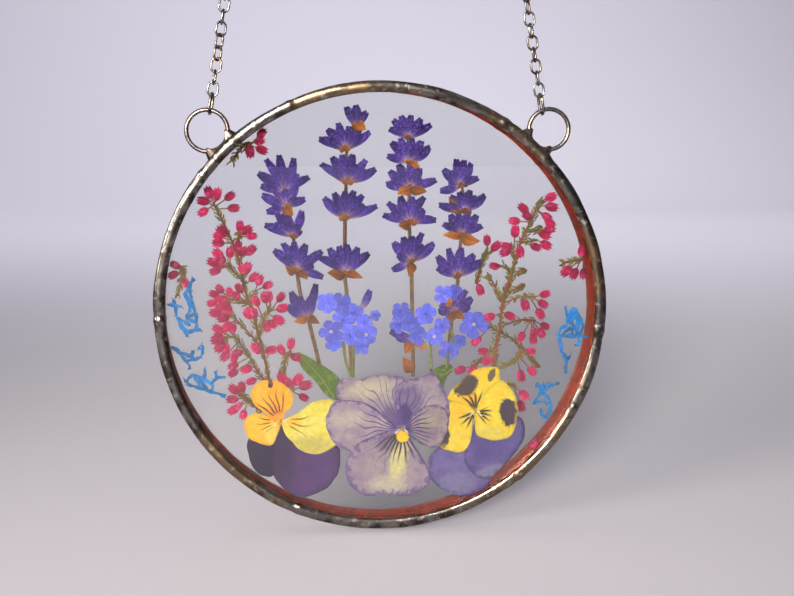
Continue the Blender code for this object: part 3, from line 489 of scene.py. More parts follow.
def grain(material: Material, size_mm: float, detail: float = 3.0) -> Socket:
    """Noise on Object coordinates whose blotches are about size_mm across, as its Fac socket."""
    place = add_node(material, "TexCoord").outputs["Object"]
    return add_node(material, "TexNoise", {"Vector": place, "Scale": 1.0 / (size_mm * MM),
                                           "Detail": detail}).outputs["Fac"]


def roughen(material: Material, value: object, size_mm: float, reach: float, detail: float = 3.0) -> Socket:
    """Stray from a value by up to reach, in blotches of size_mm, and return its socket."""
    stray = rescale(material, grain(material, size_mm, detail), 0.2, 0.8, -reach, reach)
    return math_node(material, "ADD", value, stray)


def paint(material: Material, shader: bpy.types.Node, colour: object, shade: Socket) -> None:
    """Lighten or darken a colour by a shade near 1 and give it to the surface."""
    tinted = add_node(material, "HueSaturation", {"Color": colour, "Value": shade})
    feed(material, tinted.outputs[0], shader.inputs["Base Color"])


def emboss(material: Material, shader: bpy.types.Node, height: Socket, depth_mm: float,
           strength: float) -> None:
    """Give the surface a fine relief."""
    bump = add_node(material, "Bump", {"Height": height, "Distance": depth_mm * MM, "Strength": strength})
    feed(material, bump.outputs[0], shader.inputs["Normal"])


@dataclass(frozen=True)
class WindowGlass:
    """Float glass with ground edges: clear, smooth and all but colourless."""

    name: str = "float glass"
    tint: str = "#fafbfa"
    ior: float = 1.52
    gloss: float = 0.1        # full transmission hides it in a render

    def make(self) -> Material:
        """Return the glass material."""
        return new_material(self.name, Base_Color=linear(self.tint), Transmission_Weight=1.0,
                            Roughness=0.0, IOR=self.ior, Specular_IOR_Level=self.gloss)[0]


@dataclass(frozen=True)
class AgedMetal:
    """A metal whose dark patina is rubbed through to brighter metal in scattered spots."""

    name: str
    base: str
    patina: str
    bright: str
    warm: str
    roughness: tuple[float, float] = (0.22, 0.5)
    blotch_mm: float = 3.0
    warm_mm: float = 9.0
    grit_mm: float = 0.35
    grit_depth_mm: float = 0.02
    metallic: float = 1.0
    patina_mask: tuple[float, ...] = (0.38, 0.62)           # where the noise lets each layer through,
    warm_mask: tuple[float, ...] = (0.46, 0.62, 0.0, 0.8)   # and from where to where it fades in
    wear_mask: tuple[float, ...] = (0.54, 0.72, 0.0, 0.6)
    wear_share: float = 0.37                                # size of the worn spots against the blotches

    def make(self) -> Material:
        """Return the metal, with its blotches sized in real millimetres."""
        material, shader = new_material(self.name, Metallic=self.metallic)
        blotches = grain(material, self.blotch_mm, 5.0)
        layers = ((blotches, self.patina_mask, self.patina),
                  (grain(material, self.warm_mm, 2.0), self.warm_mask, self.warm),
                  (grain(material, self.blotch_mm * self.wear_share, 4.0), self.wear_mask, self.bright))
        colour: object = linear(self.base)
        for cloud, mask, over in layers:
            colour = blend_colours(material, rescale(material, cloud, *mask), colour, linear(over))
        feed(material, colour, shader.inputs["Base Color"])
        feed(material, rescale(material, blotches, 0.35, 0.65, *self.roughness), shader.inputs["Roughness"])
        emboss(material, shader, grain(material, self.grit_mm), self.grit_depth_mm, 0.6)
        return material


class Mark(Enum):
    """How a petal's marking is laid."""

    MOTTLE = "mottle"
    SPOT = "spot"
    VEINS = "veins"
    EDGE = "edge"


@dataclass(frozen=True)
class Marking:
    """One marking on a petal. Places are pixels of the photograph, sizes millimetres."""

    kind: Mark
    colour: str
    strength: float = 1.0
    place: Pixel = (0.0, 0.0)
    radii_px: Pixel = (10.0, 10.0)
    turn: float = 0.0
    softness: float = 0.35
    size_mm: float = 1.5
    count: float = 8.0
    width_mm: float = 0.12
    reach_mm: Pixel = (0.5, 12.0)
    aim: Pixel | None = None
    spread: float = math.pi


@dataclass(frozen=True)
class PressedPetal:
    """A dried petal: thin, matt, with painted shade in the dips of its crinkles and painted light on their
    crests, its veins drawn out from the eye.
    """

    name: str
    base: str
    eye: Pixel
    markings: tuple[Marking, ...] = ()
    roughness: float = 0.62

    def make(self) -> Material:
        """Return the petal's material, its markings laid one over the other."""
        material, shader = new_material(self.name, Roughness=self.roughness, Specular_IOR_Level=0.25)
        colour: object = linear(self.base)
        for marking in self.markings:
            mask = getattr(self, f"lay_{marking.kind.value}")(material, marking)
            mask = times(material, mask, marking.strength)
            colour = blend_colours(material, mask, colour, linear(marking.colour))
        crinkle_and_painted_shade = grain(material, 0.9, 4.0)
        # The crinkle noise that raises the relief also darkens its dips and lightens its crests: painted
        # shade and painted light.
        paint(material, shader, colour, rescale(material, crinkle_and_painted_shade, 0.3, 0.7, 0.9, 1.06))
        emboss(material, shader, crinkle_and_painted_shade, 0.05, 0.5)
        return material

    def from_place(self, material: Material, place: Pixel) -> bpy.types.Node:
        """A Separate XYZ of the Object coordinates, centred on a pixel's point, in millimetres."""
        centre = on_glass(place)
        seat = add_node(material, "TexCoord").outputs["Object"]
        moved = add_node(material, "VectorMath", {0: seat, 1: centre}, operation="SUBTRACT")
        scaled = add_node(material, "VectorMath", {0: moved.outputs[0], "Scale": 1.0 / MM},
                          operation="SCALE")
        return add_node(material, "SeparateXYZ", {0: scaled.outputs[0]})

    def lay_mottle(self, material: Material, marking: Marking) -> Socket:
        """Soft cloudy blotches."""
        cloud = grain(material, marking.size_mm)
        return rescale(material, cloud, 0.5 - marking.softness / 2, 0.5 + marking.softness / 2)

    def lay_spot(self, material: Material, marking: Marking) -> Socket:
        """An oval patch with a ragged, soft edge."""
        radius_x, radius_z = (radius * PX / MM for radius in marking.radii_px)
        across, along = turned_axes(material, self.from_place(material, marking.place), marking.turn,
                                    (radius_x, radius_z))
        distance = roughen(material, length_of(material, across, along), 0.8, 0.16)
        return rescale(material, distance, 1.0 + marking.softness / 2, 1.0 - marking.softness / 2)

    def lay_veins(self, material: Material, marking: Marking) -> Socket:
        """Fine lines that fan out from the eye, of even width, fading with distance."""
        axes = self.from_place(material, self.eye)
        radius = length_of(material, axes.outputs[0], axes.outputs[2])
        run = on_glass(marking.aim) - on_glass(self.eye) if marking.aim else UPWARD
        across, along = turned_axes(material, axes, -math.atan2(run.x, run.z))
        angle = math_node(material, "ARCTAN2", across, along)
        bent = roughen(material, angle, 5.0, 0.1, detail=0.0)
        sine = math_node(material, "SINE", times(material, bent, marking.count))
        wave = math_node(material, "ABSOLUTE", sine)
        gap = times(material, math_node(material, "DIVIDE", wave, marking.count), radius)
        near, far = marking.reach_mm
        masks = (rescale(material, radius, far, far * 0.55), rescale(material, radius, near * 0.6, near),
                 rescale(material, math_node(material, "ABSOLUTE", angle), marking.spread,
                         marking.spread * 0.85))
        line = rescale(material, gap, marking.width_mm, marking.width_mm * 0.35)
        for mask in masks:
            line = times(material, line, mask)
        return line

    def lay_edge(self, material: Material, marking: Marking) -> Socket:
        """A band along the petal's edge, from the piece's own "rim" attribute."""
        rim = add_node(material, "Attribute", attribute_name="rim").outputs["Fac"]
        return rescale(material, roughen(material, rim, 1.1, 0.14), 1.0 - marking.softness, 1.0)


RELIEF_DEPTH_MM = 0.04     # of a plant's fine grain


@dataclass(frozen=True)
class DriedPlant:
    """A dried bud, bell, leaf or stem: its colour runs from base to tip, ribbed along its length."""

    name: str
    stops: tuple[tuple[float, str], ...]
    ribs: float = 0.0
    rib_colour: str = "#000000"
    rib_strength: float = 0.5
    blotch: str | None = None
    blotch_mm: float = 0.6
    variety: float = 0.25
    roughness: float = 0.7
    rib_depth_mm: float = 0.0

    def make(self) -> Material:
        """Return the plant's material. It reads the piece's UV map: across, then base to tip."""
        material, shader = new_material(self.name, Roughness=self.roughness, Specular_IOR_Level=0.25)
        seat = add_node(material, "UVMap", uv_map="growth").outputs[0]
        axes = add_node(material, "SeparateXYZ", {0: seat})
        ramp = add_node(material, "ValToRGB", {0: axes.outputs[1]})
        points = ramp.color_ramp.elements
        while len(points) < len(self.stops):
            points.new(0.5)
        for point, (position, code) in zip(points, self.stops):
            point.position = position
            point.color = linear(code)
        colour = ramp.outputs[0]
        relief = grain(material, 0.3)
        if self.ribs:
            wave = math_node(material, "SINE", times(material, axes.outputs[0], self.ribs * 2 * math.pi))
            mask = rescale(material, wave, 0.1, 0.9, 0.0, self.rib_strength)
            colour = blend_colours(material, mask, colour, linear(self.rib_colour))
            drop = times(material, wave, -self.rib_depth_mm / RELIEF_DEPTH_MM / 2)
            relief = math_node(material, "ADD", relief, drop)
        if self.blotch:
            mask = rescale(material, grain(material, self.blotch_mm), 0.5, 0.66, 0.0, 0.8)
            colour = blend_colours(material, mask, colour, linear(self.blotch))
        tint = add_node(material, "Attribute", attribute_name="tint").outputs["Fac"]
        shade = rescale(material, tint, 0.0, 1.0, 1.0 - self.variety, 1.0 + self.variety)
        paint(material, shader, colour, shade)
        emboss(material, shader, relief, RELIEF_DEPTH_MM, 0.6)
        return material


# Shapes

def smooth_path(points: Sequence[Vector], steps: int, closed: bool = False) -> list[Vector]:
    """Run a smooth curve through points.

    Args:
        points: the points that the curve passes.
        steps: how many pieces each stretch between two points is cut into.
        closed: whether the last point joins the first.

    Returns:
        The points along the curve.
    """
    count = len(points)
    curve = []
    for number in range(count if closed else count - 1):
        if closed:
            around = [points[(number + shift) % count] for shift in (-1, 0, 1, 2)]
        else:
            around = [points[min(max(number + shift, 0), count - 1)] for shift in (-1, 0, 1, 2)]
        before, start, end, after = around
        for step in range(steps):
            t = step / steps
            curve.append(0.5 * (2 * start + (end - before) * t
                                + (2 * before - 5 * start + 4 * end - after) * t * t
                                + (3 * start - before - 3 * end + after) * t ** 3))
    if not closed:
        curve.append(points[-1].copy())
    return curve


def arc(centre: Vector, first: Vector, second: Vector, start: float, end: float, steps: int) -> list[Vector]:
    """Points along an arc.

    Args:
        centre: the arc's centre.
        first: the radius at angle 0.
        second: the radius at a quarter turn.
        start: the first angle.
        end: the last angle.
        steps: how many stretches.

    Returns:
        steps + 1 points.
    """
    angles = [start + (end - start) * step / steps for step in range(steps + 1)]
    return [centre + first * math.cos(angle) + second * math.sin(angle) for angle in angles]


def sideways(direction: Vector) -> Vector:
    """The direction across another one, in the disc's plane."""
    return Vector((direction.z, 0.0, -direction.x))


def on_dial(angle: float) -> Vector:
    """The direction at an angle in the disc's plane, counted from the right."""
    return Vector((math.cos(angle), 0.0, math.sin(angle)))


def pour(form: BMesh, whole: BMesh) -> None:
    """Add a finished form to a larger one, and free it."""
    mesh = bpy.data.meshes.new("form")
    form.to_mesh(mesh)
    form.free()
    whole.from_mesh(mesh)
    bpy.data.meshes.remove(mesh)


def new_object(shape: BMesh, name: str, finishes: Iterable[Material]) -> bpy.types.Object:
    """Turn a bmesh into an object of the scene, with its materials."""
    mesh = bpy.data.meshes.new(name)
    shape.to_mesh(mesh)
    shape.free()
    for finish in finishes:
        mesh.materials.append(finish)
    item = bpy.data.objects.new(name, mesh)
    bpy.context.scene.collection.objects.link(item)
    return item


def settle(shape: BMesh, name: str, body: Body, nodes: Iterable[str],
           finishes: Iterable[Material]) -> None:
    """Turn a bmesh into an object that rides on its body.

    Args:
        shape: the bmesh, which is freed.
        name: the new object's name.
        body: the body that it moves with.
        nodes: the solids that it stands for.
        finishes: its materials, in the order of its faces' numbers.
    """
    item = new_object(shape, name, finishes)
    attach(item, body.value)
    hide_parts(*nodes)
    log.info("%s: %d faces", name, len(item.data.polygons))


def ring_edges(ring: Sequence[BMVert]) -> list[bmesh.types.BMEdge]:
    """The edges that join a ring's own points."""
    own = set(ring)
    return list(dict.fromkeys(edge for vert in ring for edge in vert.link_edges
                              if edge.other_vert(vert) in own))


class Sculpture:
    """A mesh in the making, with the UV map and tints that the plants' finishes read."""

    def __init__(self) -> None:
        """Start with an empty mesh."""
        self.start()
        self.whole = self.shape

    def start(self) -> None:
        """Start one form, with its UV map, tint and nearness to its rim."""
        self.shape = bmesh.new()
        self.uv = self.shape.loops.layers.uv.new("growth")
        self.tint = self.shape.verts.layers.float.new("tint")
        self.rim = self.shape.verts.layers.float.new("rim")

    def coat(self, places: dict[BMVert, Pixel], finish: int) -> None:
        """Give the faces round some points their finish, and each point its place on the UV map."""
        for face in {face for vert in places for face in vert.link_faces}:
            face.material_index = finish
            face.smooth = True
            for loop in face.loops:
                loop[self.uv].uv = places[loop.vert]

    def next_ring(self, ring: Sequence[BMVert]) -> list[BMVert]:
        """Extrude a ring and return the new one, each point in its partner's order."""
        order = {vert: index for index, vert in enumerate(ring)}
        grown = bmesh.ops.extrude_edge_only(self.shape, edges=ring_edges(ring))["geom"]
        fresh = list(ring)
        for vert in grown:
            if isinstance(vert, BMVert):
                partner = next(edge.other_vert(vert) for edge in vert.link_edges
                               if edge.other_vert(vert) in order)
                fresh[order[partner]] = vert
        return fresh

    def drop(self, base: Vector, tip: Vector, width: float, depth: float,
             girth: Callable[[float], float], sides: int = 10, rings: int = 8, bend: float = 0.0,
             tint: float = 0.5, finish: int = 0) -> None:
        """Grow a closed drop from base to tip.

        Args:
            base: where it is attached.
            tip: its far end.
            width: its greatest width across the disc.
            depth: its greatest depth through the disc.
            girth: share of the width at each share of the length.
            sides: faces around.
            rings: faces along.
            bend: how far its middle bows sideways, as a share of its length.
            tint: its own shade, 0 to 1.
            finish: number of its material.
        """
        self.start()
        made = bmesh.ops.create_uvsphere(self.shape, u_segments=sides, v_segments=rings, radius=1.0)
        run = tip - base
        across = sideways(run.normalized())
        places = {}
        for vert in made["verts"]:
            share = 0.5 + math.asin(max(-1.0, min(1.0, vert.co.z))) / math.pi
            around = math.atan2(vert.co.y, vert.co.x)
            is_pole = math.hypot(vert.co.x, vert.co.y) <= 1e-4
            swell = 0.0 if is_pole else girth(share)
            bow = bend * run.length * math.sin(math.pi * share)
            vert.co = (base + run * share + across * (math.cos(around) * swell * width / 2 + bow)
                       + BACKWARD * (math.sin(around) * swell * depth / 2))
            vert[self.tint] = tint
            places[vert] = (around / (2 * math.pi) + 0.5, share)
        self.coat(places, finish)
        pour(self.shape, self.whole)

    def stalk(self, path: Sequence[Vector], radii: Sequence[float] | float, sides: int = 8,
              depth_share: float = 1.0, tint: float = 0.5, finish: int = 0, closed: bool = False) -> None:
        """Draw a round stalk or wire along a path.

        Args:
            path: the points of its middle line.
            radii: one radius, or the radii that it passes from its start to its end.
            sides: faces around.
            depth_share: its depth through the disc, as a share of its width.
            tint: its own shade, 0 to 1.
            finish: number of its material.
            closed: whether its end joins its start.
        """
        self.start()
        widths = [radii, radii] if isinstance(radii, (int, float)) else list(radii)
        last = max(len(path) - 1, 1)
        normal = None
        rings = []
        for number, point in enumerate(path):
            before = path[number - 1] if number or closed else path[0]
            after = path[(number + 1) % len(path)] if number + 1 < len(path) or closed else path[-1]
            along = (after - before).normalized()
            if normal is None:
                aside = BACKWARD if abs(along.y) < 0.9 else Vector((1.0, 0.0, 0.0))
                normal = along.cross(aside).normalized()
            normal = (normal - along * normal.dot(along)).normalized()
            across = along.cross(normal)
            stop = number / last * (len(widths) - 1)
            low = min(int(stop), len(widths) - 2)
            radius = widths[low] + (widths[low + 1] - widths[low]) * (stop - low)
            if rings:
                ring = self.next_ring(rings[-1])
            else:
                ring = bmesh.ops.create_circle(self.shape, segments=sides, radius=1.0)["verts"]
            for index, vert in enumerate(ring):
                angle = 2 * math.pi * index / sides
                offset = normal * math.cos(angle) * radius + across * math.sin(angle) * radius
                offset.y *= depth_share
                vert.co = point + offset
                vert[self.tint] = tint
            rings.append(ring)
        if closed:
            bmesh.ops.bridge_loops(self.shape, edges=ring_edges(rings[0]) + ring_edges(rings[-1]))
        else:
            bmesh.ops.contextual_create(self.shape, geom=rings[0])
            bmesh.ops.contextual_create(self.shape, geom=rings[-1])
        self.coat({vert: (index / sides, number / last) for number, ring in enumerate(rings)
                   for index, vert in enumerate(ring)}, finish)
        pour(self.shape, self.whole)

    def blade(self, outline: Sequence[Vector], middle: Vector, thickness: float, rings: int = 10,
              finish: int = 0, waves: tuple[float, float] = (0.0, 1.0), base: Vector | None = None) -> None:
        """Lay a thin petal or leaf.

        Args:
            outline: the points of its edge.
            middle: the point that its rings close in on.
            thickness: its thickness through the disc.
            rings: how many rings of faces lie between its edge and its middle.
            finish: number of its material.
            waves: how far its surface ripples, and how far apart the ripples are.
            base: where it grows from, for the UV map; its middle if left out.
        """
        self.start()
        ring = bmesh.ops.create_circle(self.shape, segments=len(outline), radius=1.0)["verts"]
        for vert, point in zip(ring, outline):
            vert.co = point
            vert[self.rim] = 1.0
        verts = list(ring)
        for number in range(1, rings):
            share, outer = 1.0 - number / rings, 1.0 - (number - 1) / rings
            fresh = self.next_ring(ring)
            for vert, partner in zip(fresh, ring):
                vert.co = middle + (partner.co - middle) * (share / outer)
                vert[self.rim] = share
            ring = fresh
            verts += fresh
        inmost = self.next_ring(ring)
        for vert in inmost:
            vert.co = middle
        verts.append(inmost[0])
        bmesh.ops.pointmerge(self.shape, verts=inmost, merge_co=middle)
        size, spacing = waves
        for vert in verts:
            vert.co.y += noise.noise(vert.co / spacing) * size * (0.35 + 0.65 * vert[self.rim])
        faces = list({face for vert in verts for face in vert.link_faces})
        bmesh.ops.recalc_face_normals(self.shape, faces=faces)
        if sum(face.normal.y for face in faces) > 0:
            bmesh.ops.reverse_faces(self.shape, faces=faces)
        runs = {vert: vert.co - (base or middle) for vert in verts}
        reach = max(run.length for run in runs.values())
        self.coat({vert: (math.atan2(run.x, run.z) / (2 * math.pi) + 0.5, run.length / reach)
                   for vert, run in runs.items()}, finish)
        bmesh.ops.solidify(self.shape, geom=faces, thickness=thickness)
        pour(self.shape, self.whole)

    def object(self, name: str, body: Body, nodes: Iterable[str], finishes: Iterable[Material]) -> None:
        """Close the sculpture into an object, as settle() says."""
        settle(self.whole, name, body, nodes, finishes)


# The holder

def round_off(shape: BMesh) -> None:
    """Shade all faces smoothly."""
    for face in shape.faces:
        face.smooth = True


def turned(profile: Sequence[Pixel], steps: int) -> BMesh:
    """Spin a closed profile about the disc's axis.

    Args:
        profile: (radius, depth) points.
        steps: how many faces round.

    Returns:
        The closed ring as a bmesh.
    """
    shape = bmesh.new()
    verts = [shape.verts.new(DISC_CENTRE + Vector((radius, depth, 0.0))) for radius, depth in profile]
    edges = [shape.edges.new(pair) for pair in zip(verts, verts[1:] + verts[:1])]
    bmesh.ops.spin(shape, geom=verts + edges, cent=DISC_CENTRE, axis=(0.0, 1.0, 0.0),
                   angle=2 * math.pi, steps=steps, use_merge=True)
    bmesh.ops.remove_doubles(shape, verts=shape.verts, dist=1e-6)
    bmesh.ops.recalc_face_normals(shape, faces=shape.faces)
    round_off(shape)
    return shape


def polar(point: Vector) -> tuple[float, float]:
    """Radius and clockwise angle from the top of a point about the disc's centre."""
    offset = point - DISC_CENTRE
    return math.hypot(offset.x, offset.z), math.atan2(offset.x, offset.z)


def spoke(point: Vector) -> Vector:
    """The direction from the disc's axis out to a point."""
    offset = point - DISC_CENTRE
    offset.y = 0.0
    return offset.normalized()


@dataclass
class Panes:
    """The two round panes, with ground edges."""

    segments: int = 256
    arris: float = 0.12 * MM

    def build(self, finish: Material) -> None:
        """Make both panes from their solids' places."""
        for node in ("glass_front", "glass_back"):
            low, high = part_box(node)
            shape = bmesh.new()
            spot = Matrix.Translation(Vector((DISC_CENTRE.x, (low.y + high.y) / 2, DISC_CENTRE.z)))
            bmesh.ops.create_cone(shape, cap_ends=True, segments=self.segments, radius1=GLASS_RADIUS,
                                  radius2=GLASS_RADIUS, depth=high.y - low.y,
                                  matrix=spot @ Matrix.Rotation(math.radians(90), 4, "X"))
            edges = [edge for edge in shape.edges if edge.calc_face_angle(0.0) > 1.0]
            bmesh.ops.bevel(shape, geom=edges, offset=self.arris, segments=2, profile=0.5,
                            affect="EDGES", material=-1)
            for face in shape.faces:
                face.smooth = abs(face.normal.y) < 0.999
            settle(shape, f"{node}_clear", Body.DISC, [node], [finish])


@dataclass
class Laps:
    """How far the copper and the solder lap over the panes. The back lap is off centre."""

    front_inner: float = 48.95 * MM
    back_inner: float = 48.75 * MM
    drift: float = 0.75 * MM
    drift_towards: float = math.radians(118)

    def shift(self, angle: float) -> float:
        """How far outward the back lap's edge lies at an angle, because it is off centre."""
        return -self.drift * math.cos(angle - self.drift_towards)


@dataclass
class Foil(Laps):
    """The copper foil round the panes' edges. Its back lip laps on unevenly."""

    steps: int = 360
    thickness: float = 0.15 * MM
    gap: float = 0.1 * MM
    lip_steps: int = 6
    waver: float = 0.12 * MM
    waver_spacing: float = 4.0 * MM
    wrinkle: float = 0.03 * MM
    wrinkle_spacing: float = 1.6 * MM

    def build(self, finish: Material) -> None:
        """Spin the channel, then shift and ripple the edge of its back lip."""
        face = PANE_OUTER + self.gap
        outer = face + self.thickness
        web = GLASS_RADIUS + self.gap
        lip_width = web - self.back_inner
        lip = [(self.back_inner + lip_width * step / self.lip_steps, face)
               for step in range(self.lip_steps, -1, -1)]
        profile = [(self.front_inner, -face), (web, -face), *lip, (self.back_inner, outer),
                   (web + self.thickness, outer), (web + self.thickness, -outer), (self.front_inner, -outer)]
        shape = turned(profile, self.steps)
        for vert in shape.verts:
            radius, angle = polar(vert.co)
            if vert.co.y < face - 0.01 * MM or radius > web - 0.05 * MM:
                continue
            share = (web - radius) / lip_width
            shift = self.shift(angle) + noise.noise(vert.co / self.waver_spacing) * self.waver
            vert.co += spoke(vert.co) * shift * share
            if vert.co.y < face + 0.05 * MM and 0.05 < share < 0.95:
                vert.co.y += noise.noise(vert.co / self.wrinkle_spacing) * self.wrinkle
        settle(shape, "copper_foil_wrap", Body.DISC, ["copper_foil"], [finish])


@dataclass
class SolderRim(Laps):
    """The solder run round the foil by hand: a lumpy bead, and a fillet under each jump ring."""

    steps: int = 540
    crown_steps: int = 9
    flank_steps: int = 5
    lap: float = 0.1 * MM
    foil: float = 0.15 * MM
    bead: float = 0.62 * MM
    shoulder: float = 0.3 * MM        # how far the rounded part reaches down the bead's flank
    bulge: float = 0.12 * MM          # of the flank
    waver: float = 0.12 * MM          # of the inner edge
    waver_spacing: float = 3.0 * MM
    lump: float = 0.2 * MM
    lump_spacing: float = 9.0 * MM
    ripple: float = 0.03 * MM
    ripple_spacing: float = 1.6 * MM
    seams: tuple[float, ...] = (-52.0, -24.0, 33.0, 47.0, 96.0, 141.0, 203.0, 268.0)
    seam_ridge: float = 0.16 * MM
    seam_dip: float = 0.1 * MM
    web_foot: float = 5.4 * MM        # half the fillet's width at the rim, and at the ring
    web_top: float = 3.7 * MM
    web_sink: float = 0.9 * MM        # how far its foot is sunk into the rim
    web_depth: float = 1.9 * MM       # half its depth at the rim, and how much of it is lost
    web_taper: float = 1.25 * MM
    ring_cover: float = 0.75 * MM     # how far it reaches over the ring's wire
    dent: float = 0.12 * MM
    dent_spacing: float = 1.4 * MM

    @property
    def inside(self) -> float:
        """How far the bead's inner faces are from the middle plane."""
        return PANE_OUTER + self.foil + 2 * self.lap

    @property
    def seat(self) -> float:
        """The radius at which the bead sits on the foil."""
        return GLASS_RADIUS + self.foil + 2 * self.lap

    def crown(self, inner: float) -> list[Pixel]:
        """The bead's rounded top on one face of the disc, from its inner edge outward."""
        middle, half = (inner + RIM_RADIUS) / 2, (RIM_RADIUS - inner) / 2
        angles = [math.pi * (1 - step / self.crown_steps) for step in range(1, self.crown_steps)]
        return [(middle + half * math.cos(angle),
                 self.inside - self.shoulder + (self.bead + self.shoulder) * math.sin(angle) ** 0.6)
                for angle in angles]

    def profile(self) -> list[Pixel]:
        """The bead's section: flat against the foil, rounded outside."""
        shares = [2 * step / self.flank_steps - 1 for step in range(self.flank_steps + 1)]
        return [(self.front_inner, -self.inside), (self.seat, -self.inside), (self.seat, self.inside),
                (self.back_inner, self.inside), *self.crown(self.back_inner),
                *((RIM_RADIUS - self.bulge * share ** 2, (0.7 * MM - self.inside) * share)
                  for share in shares),
                *((radius, -depth) for radius, depth in reversed(self.crown(self.front_inner)))]

    def seam(self, degrees: float) -> float:
        """The ridge and the dip that a stop of the iron leaves, some degrees on from it."""
        away = (degrees + 180) % 360 - 180
        ridge = self.seam_ridge * math.exp(-(away / 0.8) ** 2)
        return ridge - self.seam_dip * math.exp(-((away - 1.6) / 0.9) ** 2)

    def build(self, finish: Material) -> None:
        """Spin the bead, raise its lumps and seams, and add the fillets."""
        shape = turned(self.profile(), self.steps)
        shape.normal_update()
        for vert in shape.verts:
            radius, angle = polar(vert.co)
            away = spoke(vert.co)
            if radius < self.seat + 0.01 * MM and abs(vert.co.y) < self.inside + 0.01 * MM:
                if radius < self.seat - 0.1 * MM:
                    edge_shift = noise.noise(vert.co / self.waver_spacing) * self.waver
                    vert.co += away * (edge_shift + (self.shift(angle) if vert.co.y > 0 else 0.0))
                continue
            if vert.co.y > self.inside:
                share = (RIM_RADIUS - radius) / (RIM_RADIUS - self.back_inner)
                vert.co += away * share * self.shift(angle)
            swell = noise.noise(vert.co / self.lump_spacing) * self.lump
            swell += noise.noise(vert.co / self.ripple_spacing + Vector((7.0, 1.0, 3.0))) * self.ripple
            swell += sum(self.seam(math.degrees(angle) - seam) for seam in self.seams)
            vert.co += vert.normal * swell
        for side in Side:
            self.add_fillet(shape, side)
        settle(shape, "solder_bead", Body.DISC, ["solder_rim"], [finish])

    def add_fillet(self, shape: BMesh, side: Side) -> None:
        """Run solder up between the rim and a jump ring.

        Args:
            shape: the rim's bmesh.
            side: which ring.
        """
        low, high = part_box(f"jump_ring_{side.label}")
        ring = (low + high) / 2
        outward = (ring - DISC_CENTRE).normalized()
        across = sideways(outward)
        fillet = bmesh.new()
        bmesh.ops.create_cube(fillet, size=2.0)
        bmesh.ops.subdivide_edges(fillet, edges=fillet.edges, cuts=7, use_grid_fill=True)
        foot = RIM_RADIUS - self.web_sink
        apart = (ring - DISC_CENTRE).length
        inner = (high.z - low.z) / 2 - self.ring_cover
        for vert in fillet.verts:
            rise = (vert.co.z + 1) / 2
            half_depth = self.web_depth - self.web_taper * rise ** 0.6
            softened = 1.0 - 0.3 * (vert.co.x ** 2) * (vert.co.y ** 2)
            aside = vert.co.x * (self.web_foot + (self.web_top - self.web_foot) * rise ** 0.4) * softened
            top = apart - math.sqrt(inner ** 2 - (vert.co.x * self.web_top) ** 2)
            vert.co = (DISC_CENTRE + outward * (foot + (top - foot) * rise) + across * aside
                       + BACKWARD * vert.co.y * half_depth * softened)
        for _ in range(2):
            bmesh.ops.smooth_vert(fillet, verts=fillet.verts, factor=0.5, use_axis_x=True, use_axis_y=True,
                                  use_axis_z=True)
        fillet.normal_update()
        for vert in fillet.verts:
            vert.co += vert.normal * noise.noise(vert.co / self.dent_spacing) * self.dent
        bmesh.ops.recalc_face_normals(fillet, faces=fillet.faces)
        round_off(fillet)
        pour(fillet, shape)


